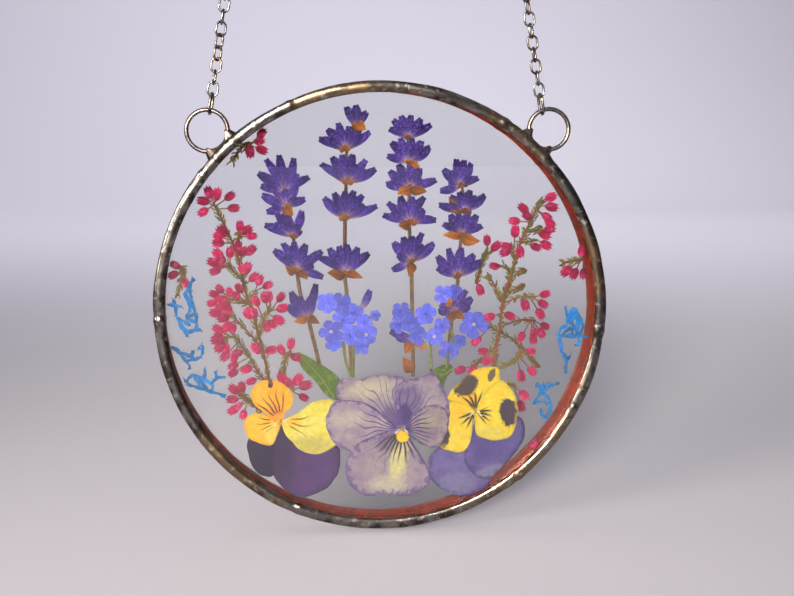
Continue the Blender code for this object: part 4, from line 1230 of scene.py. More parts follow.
@dataclass
class Hanging:
    """The jump rings, the two chain legs and their S-hooks."""

    leg_lean: float = math.radians(9.0)
    ring_wire: float = 0.5 * MM
    link_wire: float = 0.25 * MM
    link_length: float = 3.14 * MM
    link_width: float = 2.14 * MM
    link_pitch: float = 2.63 * MM
    end_wire: float = 0.32 * MM
    end_length: float = 4.55 * MM
    end_width: float = 2.9 * MM
    touch_gap: float = 0.12 * MM
    end_seat: float = 0.3 * MM        # how far a wire's middle stands off where it touches
    link_seat: float = 0.23 * MM
    left_turns: tuple[int, ...] = (0, 85, 0, 54, 138, 206, 270, 360, 270, 180)
    right_turns: tuple[int, ...] = (0, 88, 8, 66, 5, 60, 0, 60, 120, 180)
    end_turn: float = math.radians(84.0)
    hook_wire: float = 0.5 * MM
    hook_low_radius: float = 2.0 * MM
    hook_top_radius: float = 4.0 * MM
    curls_apart: float = 8.0 * MM
    shank_radius: float = 25.0 / 6 * MM
    pivots: dict[Side, float] = field(default_factory=lambda: {Side.LEFT: -38.0 * MM, Side.RIGHT: 36.3 * MM})
    pivot_height: float = 45.1 * MM

    def leg(self, side: Side) -> tuple[Vector, Vector, Vector]:
        """The pull point of a leg, its direction, and the direction across it."""
        start = DISC_CENTRE + Vector((self.pivots[side], 0.0, self.pivot_height))
        along = Vector((-side.value * math.sin(self.leg_lean), 0.0, math.cos(self.leg_lean)))
        return start, along, sideways(along)

    def build(self, finish: Material) -> None:
        """Make everything that hangs the disc."""
        for side in Side:
            self.build_ring(side, finish)
            self.build_leg(side, finish)
            self.build_hook(side, finish)

    def build_ring(self, side: Side, finish: Material) -> None:
        """Close a jump ring of round wire round its solid's middle."""
        low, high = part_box(f"jump_ring_{side.label}")
        radius = (high.z - low.z) / 2 - self.ring_wire
        form = Sculpture()
        path = arc((low + high) / 2, Vector((radius, 0, 0)), UPWARD * radius, 0.0, 2 * math.pi, 72)
        form.stalk(path[:-1], self.ring_wire, sides=16, closed=True)
        form.object(f"jump_ring_wire_{side.label}", Body.DISC, [f"jump_ring_{side.label}"], [finish])

    def link(self, form: Sculpture, side: Side, low: float, length: float, width: float, wire: float,
             turn: float) -> None:
        """Bend one oval link.

        Args:
            form: the sculpture that takes it.
            side: its leg.
            low: how far up the leg its lower end lies.
            length: its length between the middles of its wire.
            width: its width between the middles of its wire.
            wire: the wire's radius.
            turn: its turn about the leg.
        """
        start, along, across = self.leg(side)
        flat = across * math.cos(turn) + BACKWARD * math.sin(turn)
        bend = width / 2
        upper = arc(start + along * (low + length - bend), flat * bend, along * bend, 0.0, math.pi, 14)
        lower = arc(start + along * (low + bend), flat * bend, along * bend, math.pi, 2 * math.pi, 14)
        form.stalk(upper + lower, wire, sides=12, closed=True, tint=random.random())

    def build_leg(self, side: Side, finish: Material) -> None:
        """Hang the end link and the small links of one leg."""
        turns = self.left_turns if side is Side.LEFT else self.right_turns
        form = Sculpture()
        low = -(self.ring_wire + self.touch_gap + self.end_seat)
        self.link(form, side, low, self.end_length, self.end_width, self.end_wire,
                  -side.value * self.end_turn)
        first = low + self.end_length - self.end_seat - self.link_seat - self.touch_gap
        for number, turn in enumerate(turns):
            self.link(form, side, first + number * self.link_pitch, self.link_length, self.link_width,
                      self.link_wire, math.radians(turn))
        nodes = [f"end_link_{side.label}"]
        nodes += [f"chain_link_{side.label}_{number + 1:02d}" for number in range(len(turns))]
        form.object(f"chain_leg_{side.label}", Body.CHAINS, nodes, [finish])

    def build_hook(self, side: Side, finish: Material) -> None:
        """Bend an S-hook from wire: a small curl, a shank of two arcs, and a large curl."""
        low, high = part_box(f"hook_{side.label}")
        centre_x = (low.x + high.x) / 2
        top = Vector((centre_x, 0.0, 0.0))
        curl = Vector((centre_x, 0.0, -self.curls_apart))
        out, up = BACKWARD, UPWARD
        small, large, shank = self.hook_low_radius, self.hook_top_radius, self.shank_radius
        sweep = 2 * math.atan2(small + large, self.curls_apart)
        path = arc(curl, out * small, up * small, math.radians(150), 2 * math.pi, 20)
        path += arc(curl + out * (small - shank), out * shank, up * shank, 0.0, sweep, 10)[1:]
        path += arc(top + out * (shank - large), out * shank, up * shank, math.pi + sweep, math.pi, 10)[1:]
        path += arc(top, out * large, up * large, math.pi, math.radians(-25), 28)[1:]
        form = Sculpture()
        form.stalk(path, self.hook_wire, sides=14)
        form.object(f"hook_wire_{side.label}", Body.HOOKS, [f"hook_{side.label}"], [finish])


# The flowers

def bud_girth(share: float) -> float:
    """A calyx: narrow where it grows, fullest past its middle, rounded at its mouth."""
    return math.sin(math.pi * (0.14 + 0.83 * share)) ** 0.5 * (0.62 + 0.42 * share)


def bell_girth(share: float) -> float:
    """A heather bell: egg-shaped, fullest at its middle."""
    return math.sin(math.pi * share ** 0.9) ** 0.7


def pointed_girth(share: float) -> float:
    """A bract or a sepal: round at its base, tapering to a point."""
    return math.sin(math.pi * share ** 0.62) ** 0.85 * (1.0 - 0.25 * share)


def round_girth(share: float) -> float:
    """A round petal: a narrow foot and a broad end."""
    return math.sin(math.pi * share ** 1.7) ** 0.55


def leaf_girth(share: float) -> float:
    """A needle: even for most of its length."""
    return math.sin(math.pi * share) ** 0.45


def nudged(tint: float, reach: float) -> float:
    """A shade near another one, kept between 0 and 1."""
    return min(1.0, max(0.0, tint + random.uniform(-reach, reach)))


@dataclass
class Viola:
    """A pressed viola: five petals that lap over each other about its eye."""

    name: str
    layer: float
    eye: Pixel
    slot: str
    thickness: float = 0.03 * MM
    step: float = 0.032 * MM
    edge_steps: int = 6
    ruffle: float = 0.2 * MM

    def build(self, finishes: Sequence[PressedPetal]) -> None:
        """Lay the petals, each a little in front of the last, and the parts at the eye."""
        form = Sculpture()
        for number, petal in enumerate(VIOLAS_PX[self.name]):
            depth = self.layer + (2 - number) * self.step
            outline = smooth_path([on_glass(point, depth) for point in petal], self.edge_steps, closed=True)
            for point in outline:
                away = point - on_glass(self.eye, depth)
                wave = noise.noise(point / (1.7 * MM) + Vector((0.0, number * 3.1, 0.0)))
                point += away.normalized() * wave * self.ruffle
            middle = sum(outline, Vector()) / len(outline)
            form.blade(outline, middle, self.thickness, rings=14, finish=number,
                       waves=(0.03 * MM, 2.2 * MM), base=on_glass(self.eye, depth))
        materials = [finish.make() for finish in finishes]
        self.add_eye(form, len(materials))
        materials += self.eye_finishes()
        form.object(f"{self.name}_petals", Body.DISC, [self.name], materials)

    def add_eye(self, form: Sculpture, finish: int) -> None:
        """Set the pale beard on both sides of the eye and the small stigma in it."""
        eye = on_glass(self.eye, self.layer - 3.2 * self.step)
        for turn in (-1, 1):
            for tuft in range(7):
                start = eye + Vector((turn * (0.3 + 0.13 * tuft) * MM, 0.0, (0.15 - 0.16 * tuft) * MM))
                reach, fall = random.uniform(0.5, 1.0), random.uniform(-0.5, 0.1)
                end = start + Vector((turn * reach * MM, 0.0, fall * MM))
                form.drop(start, end, 0.22 * MM, 0.05 * MM, pointed_girth, sides=6, rings=5,
                          tint=random.random(), finish=finish)
        form.drop(eye + Vector((0.0, 0.0, 0.55 * MM)), eye - Vector((0.0, 0.0, 0.45 * MM)), 0.7 * MM,
                  0.08 * MM, bell_girth, finish=finish + 1)

    def eye_finishes(self) -> list[Material]:
        """The beard's pale down and the stigma's green."""
        return [DriedPlant(f"viola beard, {self.name}", ((0.0, "#e8dcae"), (1.0, "#f3ecd2"))).make(),
                DriedPlant(f"viola stigma, {self.name}", ((0.0, "#8d8a2c"), (1.0, "#c99a2a"))).make()]


@dataclass
class LavenderSpike:
    """A lavender spike: whorls of ribbed calyces, papery bracts and a thin square stem."""

    name: str
    bud_width: float = 2.65 * MM
    bud_depth: float = 0.34 * MM
    bract_width: float = 2.9 * MM
    stem_radius: float = 0.45 * MM
    stem_sink: float = 0.1 * MM       # how far each part lies behind or in front of the layer
    bud_rise: float = 0.06 * MM
    bud_step: float = 0.035 * MM
    filler_rise: float = 0.14 * MM
    bract_rise: float = 0.2 * MM

    def build(self, finishes: Sequence[Material]) -> None:
        """Grow the stem, the whorls and the bracts."""
        layout = LAVENDERS_PX[self.name]
        form = Sculpture()
        path = smooth_path([on_glass(point, LAVENDERS + self.stem_sink) for point in layout["stem"]], 8)
        form.stalk(path, (self.stem_radius * 0.6, self.stem_radius, self.stem_radius), depth_share=0.5,
                   finish=1)
        for base, tips in layout["whorls"]:
            order = sorted(tips, key=lambda tip: -abs(tip[0] - base[0]))
            for number, tip in enumerate(order):
                depth = LAVENDERS - self.bud_rise + (len(order) / 2 - number) * self.bud_step
                self.add_bud(form, on_glass(base, depth), on_glass(tip, depth))
            spread = sorted(tips)
            for left, right in zip(spread, spread[1:]):
                share, reach = random.uniform(0.35, 0.65), random.uniform(0.62, 0.8)
                between = [base[axis] + reach * (left[axis] + share * (right[axis] - left[axis]) - base[axis])
                           for axis in range(2)]
                if between[1] < base[1]:
                    depth = LAVENDERS - self.filler_rise
                    self.add_bud(form, on_glass(base, depth), on_glass(between, depth))
            self.add_husk(form, on_glass(base, LAVENDERS - self.bract_rise))
        for base, tip in BRACTS_PX[self.name]:
            start, end = (on_glass(point, LAVENDERS - self.bract_rise) for point in (base, tip))
            form.drop(start, end + (end - start) * 0.2, self.bract_width * random.uniform(0.75, 1.1),
                      0.1 * MM, pointed_girth, sides=12, bend=random.uniform(-0.12, 0.12),
                      tint=random.random(), finish=2)
        form.object(f"{self.name}_spike", Body.DISC, [self.name], finishes)

    def add_bud(self, form: Sculpture, base: Vector, tip: Vector) -> None:
        """Grow one calyx and the two small lobes of its mouth."""
        start = base + (tip - base) * 0.06
        tint = random.random()
        form.drop(start, tip, self.bud_width * random.uniform(0.85, 1.1), self.bud_depth, bud_girth,
                  sides=18, rings=12, bend=random.uniform(-0.06, 0.06), tint=tint)
        along = (tip - base).normalized()
        across = sideways(along)
        for lobe in (-1, 1):
            foot = tip - along * 0.6 * MM + across * lobe * 0.34 * MM
            form.drop(foot, foot + along * random.uniform(0.6, 0.85) * MM, 0.72 * MM, 0.2 * MM, bell_girth,
                      sides=8, rings=6, tint=nudged(tint, 0.3), finish=3)

    def add_husk(self, form: Sculpture, base: Vector) -> None:
        """Crumple a few papery husks round the foot of a whorl."""
        for turn in (-58, -20, 22, 54):
            angle = math.radians(turn + random.uniform(-10, 10))
            away = Vector((math.sin(angle), 0.0, math.cos(angle)))
            reach = random.uniform(1.0, 1.8) * MM
            form.drop(base - away * 0.35 * MM, base + away * reach, random.uniform(1.1, 1.6) * MM, 0.09 * MM,
                      pointed_girth, sides=8, rings=6, bend=random.uniform(-0.1, 0.1), tint=random.random(),
                      finish=2)


@dataclass
class ForgetMeNots:
    """A bunch of forget-me-nots: five round petals and, on a few flowers, an open eye."""

    name: str
    petal_depth: float = 0.06 * MM
    stem_radius: float = 0.36 * MM
    stem_sink: float = 0.18 * MM      # how far the stems and the first flower lie behind the layer
    flower_sink: float = 0.12 * MM
    flower_step: float = 0.035 * MM
    open_eyes: tuple[Pixel, ...] = ((331, 331), (366, 334), (473.5, 324), (434, 336))

    def build(self, finishes: Sequence[Material]) -> None:
        """Lay the stems, then the flowers from the back of the bunch to its front."""
        layout = FORGET_ME_NOTS_PX[self.name]
        form = Sculpture()
        for stem in layout["stems"]:
            path = smooth_path([on_glass(point, FORGET_ME_NOTS + self.stem_sink) for point in stem], 6)
            form.stalk(path, self.stem_radius, depth_share=0.45, finish=1)
        for number, (x_px, y_px, radius_px) in enumerate(layout["flowers"]):
            depth = FORGET_ME_NOTS + self.flower_sink - self.flower_step * (number % 8)
            is_open = (x_px, y_px) in self.open_eyes
            self.add_flower(form, on_glass((x_px, y_px), depth), radius_px * PX, number, is_open)
        form.object(f"{self.name}_flowers", Body.DISC, [self.name], finishes)

    def add_flower(self, form: Sculpture, middle: Vector, radius: float, number: int, is_open: bool) -> None:
        """Lay one flower.

        Args:
            form: the sculpture that takes it.
            middle: its eye.
            radius: its reach.
            number: its place in the bunch, which sets its turn.
            is_open: whether its eye shows.
        """
        turn = 0.4 + number
        tint = random.random()
        for petal in range(5):
            angle = turn + 2 * math.pi * (petal + 0.5) / 5 + random.uniform(-0.12, 0.12)
            away = on_dial(angle)
            lean = BACKWARD * (petal % 2 - 0.5) * 0.05 * MM
            form.drop(middle + lean, middle + away * radius * random.uniform(0.92, 1.08) + lean,
                      radius * random.uniform(0.74, 0.9), self.petal_depth, round_girth, sides=16, rings=10,
                      bend=random.uniform(-0.06, 0.06), tint=nudged(tint, 0.3))
        front = middle - BACKWARD * 0.07 * MM
        if is_open:
            for ray in range(5):
                angle = turn + 2 * math.pi * (ray + 0.5) / 5
                form.drop(front, front + on_dial(angle) * 0.62 * MM, 0.36 * MM, 0.05 * MM, pointed_girth,
                          sides=6, rings=5, finish=3)
            ring = arc(front - BACKWARD * 0.04 * MM, on_dial(0.0) * 0.2 * MM, UPWARD * 0.2 * MM, 0.0,
                       2 * math.pi, 10)
            form.stalk(ring[:-1], 0.08 * MM, sides=6, closed=True, finish=2)
        elif number % 2:
            fold = on_dial(turn)
            form.drop(front - fold * 0.3 * MM, front + fold * 0.9 * MM, 0.4 * MM, 0.05 * MM, pointed_girth,
                      sides=6, rings=6, bend=0.2, tint=0.0, finish=4)


@dataclass
class HeatherSprig:
    """A heather sprig: a woody stem, short stalks, bells of pointed sepals and needle leaves."""

    name: str
    stem_radius: float = 0.34 * MM
    bell_length: float = 14.0 * PX
    bell_width: float = 8.6 * PX
    needle: float = 1.7 * MM
    stem_sink: float = 0.05 * MM
    bell_rise: float = 0.08 * MM
    spare_sink: float = 0.05 * MM
    crowded: dict[str, float] = field(default_factory=lambda: {"heather_left": 0.5, "heather_right": 0.22,
                                                               "heather_low_left": 0.6})

    @property
    def layer(self) -> float:
        """Its layer: the low middle sprig lies on a leaf."""
        return LAVENDERS if self.name == "heather_low_middle" else HEATHERS

    def build(self, finishes: Sequence[Material]) -> None:
        """Grow the stems with their needles, then the stalks and the bells."""
        layout = HEATHERS_PX[self.name]
        form = Sculpture()
        for number, stem in enumerate(layout["stems"]):
            path = smooth_path([on_glass(point, self.layer + self.stem_sink) for point in stem], 5)
            thick = self.stem_radius * (1.0 if number == 0 else 0.75)
            form.stalk(path, (thick * 0.7, thick, thick), depth_share=0.5, tint=random.random(), finish=1)
            self.add_needles(form, path)
        for x_px, y_px, root_x_px, root_y_px in layout["bells"]:
            depth = self.layer - self.bell_rise * random.random()
            middle, root = on_glass((x_px, y_px), depth), on_glass((root_x_px, root_y_px), depth)
            if y_px > 245 and random.random() < self.crowded.get(self.name, 0.0):
                aside = Matrix.Rotation(random.choice((-1, 1)) * random.uniform(0.5, 0.8), 3, "Y")
                spare = BACKWARD * self.spare_sink
                self.add_bell(form, root + aside @ (middle - root) * 0.85 + spare, root + spare, 0.88)
            self.add_bell(form, middle, root)
        form.object(f"{self.name}_sprig", Body.DISC, [self.name], finishes)

    def add_needles(self, form: Sculpture, path: Sequence[Vector]) -> None:
        """Set short scale-like leaves up a stem, pressed along it on both sides."""
        for start, end in zip(path, path[1:]):
            growth = (start - end).normalized()
            across = sideways(growth)
            for side in (-1, 1):
                if random.random() < 0.85:
                    spread = math.radians(random.uniform(12, 42))
                    away = growth * math.cos(spread) + across * side * math.sin(spread)
                    foot = start.lerp(end, random.random()) + across * side * 0.12 * MM
                    form.drop(foot, foot + away * self.needle * random.uniform(0.55, 1.0), 0.42 * MM,
                              0.14 * MM, leaf_girth, sides=6, rings=5, bend=0.1 * side,
                              tint=random.random(), finish=2)

    def add_bell(self, form: Sculpture, middle: Vector, root: Vector, size: float = 1.0) -> None:
        """Grow one flower on its stalk.

        Args:
            form: the sculpture that takes it.
            middle: the middle of the bell.
            root: where its stalk leaves the stem.
            size: its size as a share of a full bell.
        """
        size *= random.uniform(0.88, 1.12)
        length, width = self.bell_length * size, self.bell_width * size
        growth = (middle - root).normalized()
        across = sideways(growth)
        neck = middle - growth * length * 0.48
        if (neck - root).dot(growth) > 0.2 * MM:
            form.stalk(smooth_path([root, neck + growth * 0.3 * MM], 3), 0.15 * MM, sides=6, depth_share=0.7,
                       finish=1)
        tint = random.random()
        mouth = middle + growth * length * 0.42
        form.drop(neck, mouth, width * 0.92, 0.22 * MM, bell_girth, sides=12, rings=8, tint=tint * 0.6)
        form.drop(neck - growth * 0.15 * MM, neck + growth * 0.75 * MM, 0.62 * MM, 0.3 * MM, bell_girth,
                  sides=8, rings=5, tint=tint, finish=3)
        for number, spread in enumerate((-0.3, 0.3, 0.02)):
            end = mouth + across * width * spread + growth * length * (0.12 - 0.25 * abs(spread))
            lift = BACKWARD * -0.03 * MM * (number + 1)
            form.drop(neck + lift, end + lift, width * random.uniform(0.46, 0.56), 0.1 * MM, pointed_girth,
                      sides=10, rings=8, bend=0.34 * spread, tint=nudged(tint, 0.3))


@dataclass
class Leaf:
    """A pressed leaf with a raised midrib."""

    name: str

    def build(self, finishes: Sequence[Material]) -> None:
        """Lay the blade and its rib."""
        form = Sculpture()
        points = [on_glass(point, HEATHERS) for point in LEAVES_PX[self.name]]
        outline = smooth_path(points, 6, closed=True)
        middle = sum(outline, Vector()) / len(outline)
        form.blade(outline, middle, 0.06 * MM, waves=(0.04 * MM, 1.8 * MM), base=points[0])
        tip, foot = points[0], (points[3] + points[4]) / 2
        form.stalk(smooth_path([tip.lerp(middle, 0.2), middle, foot], 6), (0.05 * MM, 0.12 * MM, 0.17 * MM),
                   sides=6, depth_share=0.8, finish=1)
        form.object(f"{self.name}_blade", Body.DISC, [self.name], finishes)


@dataclass
class Lichen:
    """A sprig of branching lichen, dyed blue: flat irregular branches with ragged tips."""

    name: str
    branch_radius: float = 0.36 * MM

    def build(self, finishes: Sequence[Material]) -> None:
        """Draw each branch with a wandering width, and its short side shoots."""
        form = Sculpture()
        for number, branch in enumerate(LICHENS_PX[self.name]):
            path = smooth_path([on_glass(point, LAVENDERS + 0.02 * MM * (number % 3)) for point in branch], 7)
            for point in path[1:-1]:
                point += Vector((noise.noise(point / (0.9 * MM)), 0.0,
                                 noise.noise(point / (0.9 * MM) + Vector((5, 5, 5))))) * 0.22 * MM
            widths = [self.branch_radius * random.uniform(0.5, 1.6) for _ in range(len(path) // 2 + 2)]
            widths[-1] = self.branch_radius * 0.5
            form.stalk(path, widths, sides=8, depth_share=0.4, tint=random.random())
            for point in path[1::2]:
                aside = Vector((random.uniform(-1, 1), 0.0, random.uniform(-1, 1))).normalized()
                form.drop(point, point + aside * random.uniform(0.4, 0.9) * MM, 0.24 * MM, 0.12 * MM,
                          leaf_girth, sides=6, rings=5, tint=random.random())
        form.object(f"{self.name}_sprig", Body.DISC, [self.name], finishes)


# The finishes

def vein_fan(colour: str, count: float, reach: tuple[float, float], strength: float = 0.8,
             width: float = 0.12, aim: Pixel | None = None, spread: float = math.pi) -> Marking:
    """A fan of veins drawn out from the eye."""
    return Marking(Mark.VEINS, colour, strength, count=count, reach_mm=reach, width_mm=width, aim=aim,
                   spread=spread)


def spot(colour: str, place: Pixel, radii: Pixel, strength: float = 1.0, turn: float = 0.0,
         softness: float = 0.9) -> Marking:
    """An oval patch, its turn in degrees."""
    return Marking(Mark.SPOT, colour, strength, place, radii, math.radians(turn), softness)


def mottle(colour: str, size_mm: float, strength: float = 0.5, softness: float = 0.4) -> Marking:
    """Cloudy blotches."""
    return Marking(Mark.MOTTLE, colour, strength, size_mm=size_mm, softness=softness)


def edge(colour: str, strength: float = 0.7, softness: float = 0.3) -> Marking:
    """A band along the edge."""
    return Marking(Mark.EDGE, colour, strength, softness=softness)


LEFT_EYE, CENTRE_EYE, RIGHT_EYE = (281.0, 420.0), (401.5, 428.0), (475.0, 411.0)

# What the eye sees: two plum petals below, and yellow ones with orange and dark whiskers above
LEFT_VIOLA_FINISHES = (
    PressedPetal("plum petal, low left", "#25133a", LEFT_EYE, (
        mottle("#201128", 3), vein_fan("#180c20", 22, (2, 14), 0.4), edge("#180c20", 0.6))),
    PressedPetal("plum petal, low right", "#45265e", LEFT_EYE, (
        mottle("#573672", 4, 0.6), spot("#281532", (281, 452), (14, 34), 0.75, softness=0.8),
        vein_fan("#2e1a3a", 26, (2, 19), 0.4), edge("#301c42", 0.6))),
    PressedPetal("yellow petal, left", "#fbb81e", LEFT_EYE, (
        mottle("#fdcb34", 2.5, 0.6), spot("#f9d862", (272, 434), (7, 12), 0.8),
        vein_fan("#4c2a10", 11, (3, 6.4), 0.95, 0.2, (252, 423), 0.6), edge("#e8a010", 0.5, 0.2))),
    PressedPetal("orange petal, top", "#fcaa10", LEFT_EYE, (
        mottle("#fdbe28", 3, 0.6), spot("#f48c08", (276, 412), (9, 12), 0.7),
        spot("#2e1c18", (270.8, 383), (2.6, 4.4), 0.95, softness=0.25),
        vein_fan("#4a2410", 13, (2.6, 8.6), 0.97, 0.24, (271, 398), 0.62), edge("#e89a10", 0.5, 0.2))),
    PressedPetal("yellow petal, right", "#f0dc4a", LEFT_EYE, (
        mottle("#f6ea86", 4, 0.6), spot("#c4b45e", (311, 445), (21, 11), 0.75),
        spot("#f8c02c", (290, 421), (11, 8), 0.8),
        vein_fan("#3c2410", 9, (3.2, 7.8), 0.97, 0.22, (302, 424), 0.55),
        vein_fan("#cdb848", 34, (4, 16), 0.4, 0.08), edge("#dcc850", 0.5, 0.2))),
)
# What the eye sees: a lavender-grey flower that the press has made papery, its veins violet
CENTRE_VIOLA_FINISHES = (
    PressedPetal("grey violet petal, upper left", "#95829c", CENTRE_EYE, (
        mottle("#b8a99e", 4, 0.8), spot("#cfc49c", (370, 388), (22, 9), 0.6, 10),
        spot("#40286a", (393, 415), (12, 12), 0.75),
        vein_fan("#553a80", 20, (1.5, 17.5), 0.9, 0.15), edge("#5c4286", 0.75, 0.16))),
    PressedPetal("grey violet petal, upper right", "#8d7a98", CENTRE_EYE, (
        mottle("#b2a1a4", 3.5, 0.8), spot("#1c0c40", (404.5, 413), (7, 11), 0.95, softness=0.6),
        spot("#442c72", (408, 400), (14, 16), 0.6),
        vein_fan("#483078", 20, (1.5, 14), 0.9, 0.15), edge("#583e82", 0.75, 0.16))),
    PressedPetal("grey violet petal, left", "#98849e", CENTRE_EYE, (
        mottle("#b9a8a6", 4, 0.85), spot("#cbbfa8", (350, 418), (14, 9), 0.5),
        vein_fan("#3c2570", 17, (1.2, 13), 0.95, 0.18), edge("#5a4084", 0.75, 0.16))),
    PressedPetal("grey violet petal, right", "#847088", CENTRE_EYE, (
        mottle("#a99894", 3, 0.8), spot("#b3a684", (428, 420), (9, 8), 0.5),
        vein_fan("#341e66", 17, (1.2, 9), 0.95, 0.18), edge("#50387c", 0.75, 0.16))),
    PressedPetal("grey violet petal, lower", "#99859c", CENTRE_EYE, (
        mottle("#b5a4a2", 4, 0.7), spot("#e2d890", (398, 455), (9, 26), 0.9, -8),
        spot("#d8ceb0", (390, 482), (18, 10), 0.6),
        spot("#432a5e", (388, 440), (13, 10), 0.6, 30),
        vein_fan("#22103c", 17, (1.6, 9.5), 0.97, 0.24, (399, 470), 1.1),
        vein_fan("#664c88", 26, (6, 16), 0.5, 0.08), edge("#5c4286", 0.75, 0.14),
        spot("#fcc40c", (402.5, 435), (6.5, 5.5), 1, softness=0.35))),
)
# What the eye sees: three yellow petals with grey violet patches over two slate blue ones
RIGHT_VIOLA_FINISHES = (
    PressedPetal("slate blue petal, low left", "#5b4b86", RIGHT_EYE, (
        mottle("#7b6ea6", 4, 0.6), spot("#827da2", (456, 482), (20, 12), 0.6),
        vein_fan("#473a7c", 30, (2, 20), 0.5, 0.08), edge("#332a60", 0.6, 0.15))),
    PressedPetal("slate blue petal, low right", "#4f417f", RIGHT_EYE, (
        mottle("#7064a0", 4, 0.6), spot("#40347e", (490, 448), (18, 12), 0.6),
        spot("#8c889e", (490, 470), (16, 6), 0.6, 20, 0.8),
        vein_fan("#3e3174", 30, (2, 19), 0.5, 0.08), edge("#332a60", 0.6, 0.15))),
    PressedPetal("yellow petal with patch, top", "#f6c818", RIGHT_EYE, (
        mottle("#f9dc3c", 2.5, 0.6), spot("#fbb40c", (468, 400), (12, 8), 0.7),
        spot("#281f3a", (465, 384), (14, 10.5), 0.95, 38, 0.3),
        spot("#281f3a", (491, 374), (3.6, 7), 0.9, -20, 0.4),
        vein_fan("#241a1c", 11, (0.7, 6), 1, 0.32, (474, 392), 0.75), edge("#dcb820", 0.5, 0.2))),
    PressedPetal("yellow petal with patch, right", "#f4d022", RIGHT_EYE, (
        mottle("#f6de50", 3, 0.6), spot("#d8cc5a", (488, 432), (16, 8), 0.6),
        spot("#2e1a46", (508, 411), (9, 15), 0.97, 8, 0.25),
        vein_fan("#241a1c", 10, (0.7, 4.6), 1, 0.3, (488, 414), 0.7), edge("#d8bc30", 0.5, 0.2))),
    PressedPetal("yellow petal with patch, left", "#f3cf2a", RIGHT_EYE, (
        mottle("#f6e05c", 2.5, 0.6), spot("#2e1f3c", (443, 437), (6, 11.5), 0.95, -14, 0.3),
        spot("#f9b814", (456, 412), (10, 8), 0.6),
        vein_fan("#241a1c", 10, (1, 5.2), 1, 0.28, (460, 424), 0.7), edge("#d8bc30", 0.5, 0.2))),
)


def lavender_finishes() -> list[Material]:
    """Calyx, stem, bract and the lobes of the calyx's mouth."""
    return [
        DriedPlant("dried lavender calyx", ((0, "#b89a78"), (0.2, "#9a7f8c"), (0.46, "#4c3590"),
                                            (0.75, "#331f70"), (1, "#24144f")),
                   ribs=7, rib_colour="#1d1048", rib_strength=0.65, blotch="#6a52ac", blotch_mm=0.45,
                   rib_depth_mm=0.06).make(),
        DriedPlant("dried lavender stem", ((0, "#6f5236"), (1, "#80623c")), blotch="#4d3823",
                   blotch_mm=0.8).make(),
        DriedPlant("papery bract", ((0, "#5c3413"), (0.45, "#a05c1c"), (1, "#b87530")), ribs=6,
                   rib_colour="#4f2a0c", blotch="#6d3f16", blotch_mm=0.5, variety=0.35).make(),
        DriedPlant("lavender calyx lobe", ((0, "#2c1a5c"), (1, "#4a3585")), variety=0.4).make(),
    ]


def forget_me_not_finishes() -> list[Material]:
    """Petal, stem, the ring round the eye, its pale rays and the dark of a folded throat."""
    return [
        DriedPlant("forget-me-not petal",
                   ((0, "#4450b8"), (0.3, "#5562d4"), (0.8, "#636edc"), (1, "#505ac6")), ribs=5,
                   rib_colour="#3c48c4", rib_strength=0.35, blotch="#8a76ea", blotch_mm=1.1,
                   variety=0.25).make(),
        DriedPlant("green stem", ((0, "#6a7040"), (1, "#7c8048")), blotch="#4c5226").make(),
        DriedPlant("yellow ring of the eye", ((0, "#f0c22c"), (1, "#e0a820"))).make(),
        DriedPlant("pale ray of the eye", ((0, "#f4efe0"), (1, "#d8d0f0")), variety=0.1).make(),
        DriedPlant("folded throat", ((0, "#3a2c7c"), (1, "#4c48b4")), variety=0.2).make(),
    ]


def heather_finishes() -> list[Material]:
    """Sepal, woody stem, needle and the bell's foot."""
    return [
        DriedPlant("heather sepal", ((0, "#740222"), (0.3, "#9a043c"), (0.75, "#b8064e"), (1, "#84022c")),
                   ribs=4, rib_colour="#780228", rib_strength=0.45, blotch="#d4407c", blotch_mm=0.8,
                   variety=0.3, rib_depth_mm=0.04).make(),
        DriedPlant("woody heather stem", ((0, "#6d5a2a"), (0.5, "#74582c"), (1, "#7c4628")),
                   blotch="#8c3424", blotch_mm=1.5, variety=0.3).make(),
        DriedPlant("heather needle", ((0, "#525a1c"), (0.6, "#717a2c"), (1, "#8a7434")), blotch="#7c3c20",
                   blotch_mm=1.2, variety=0.4).make(),
        DriedPlant("foot of the heather bell", ((0, "#6f6228"), (0.5, "#a0284a"), (1, "#b81048")),
                   variety=0.3).make(),
    ]


# The stage

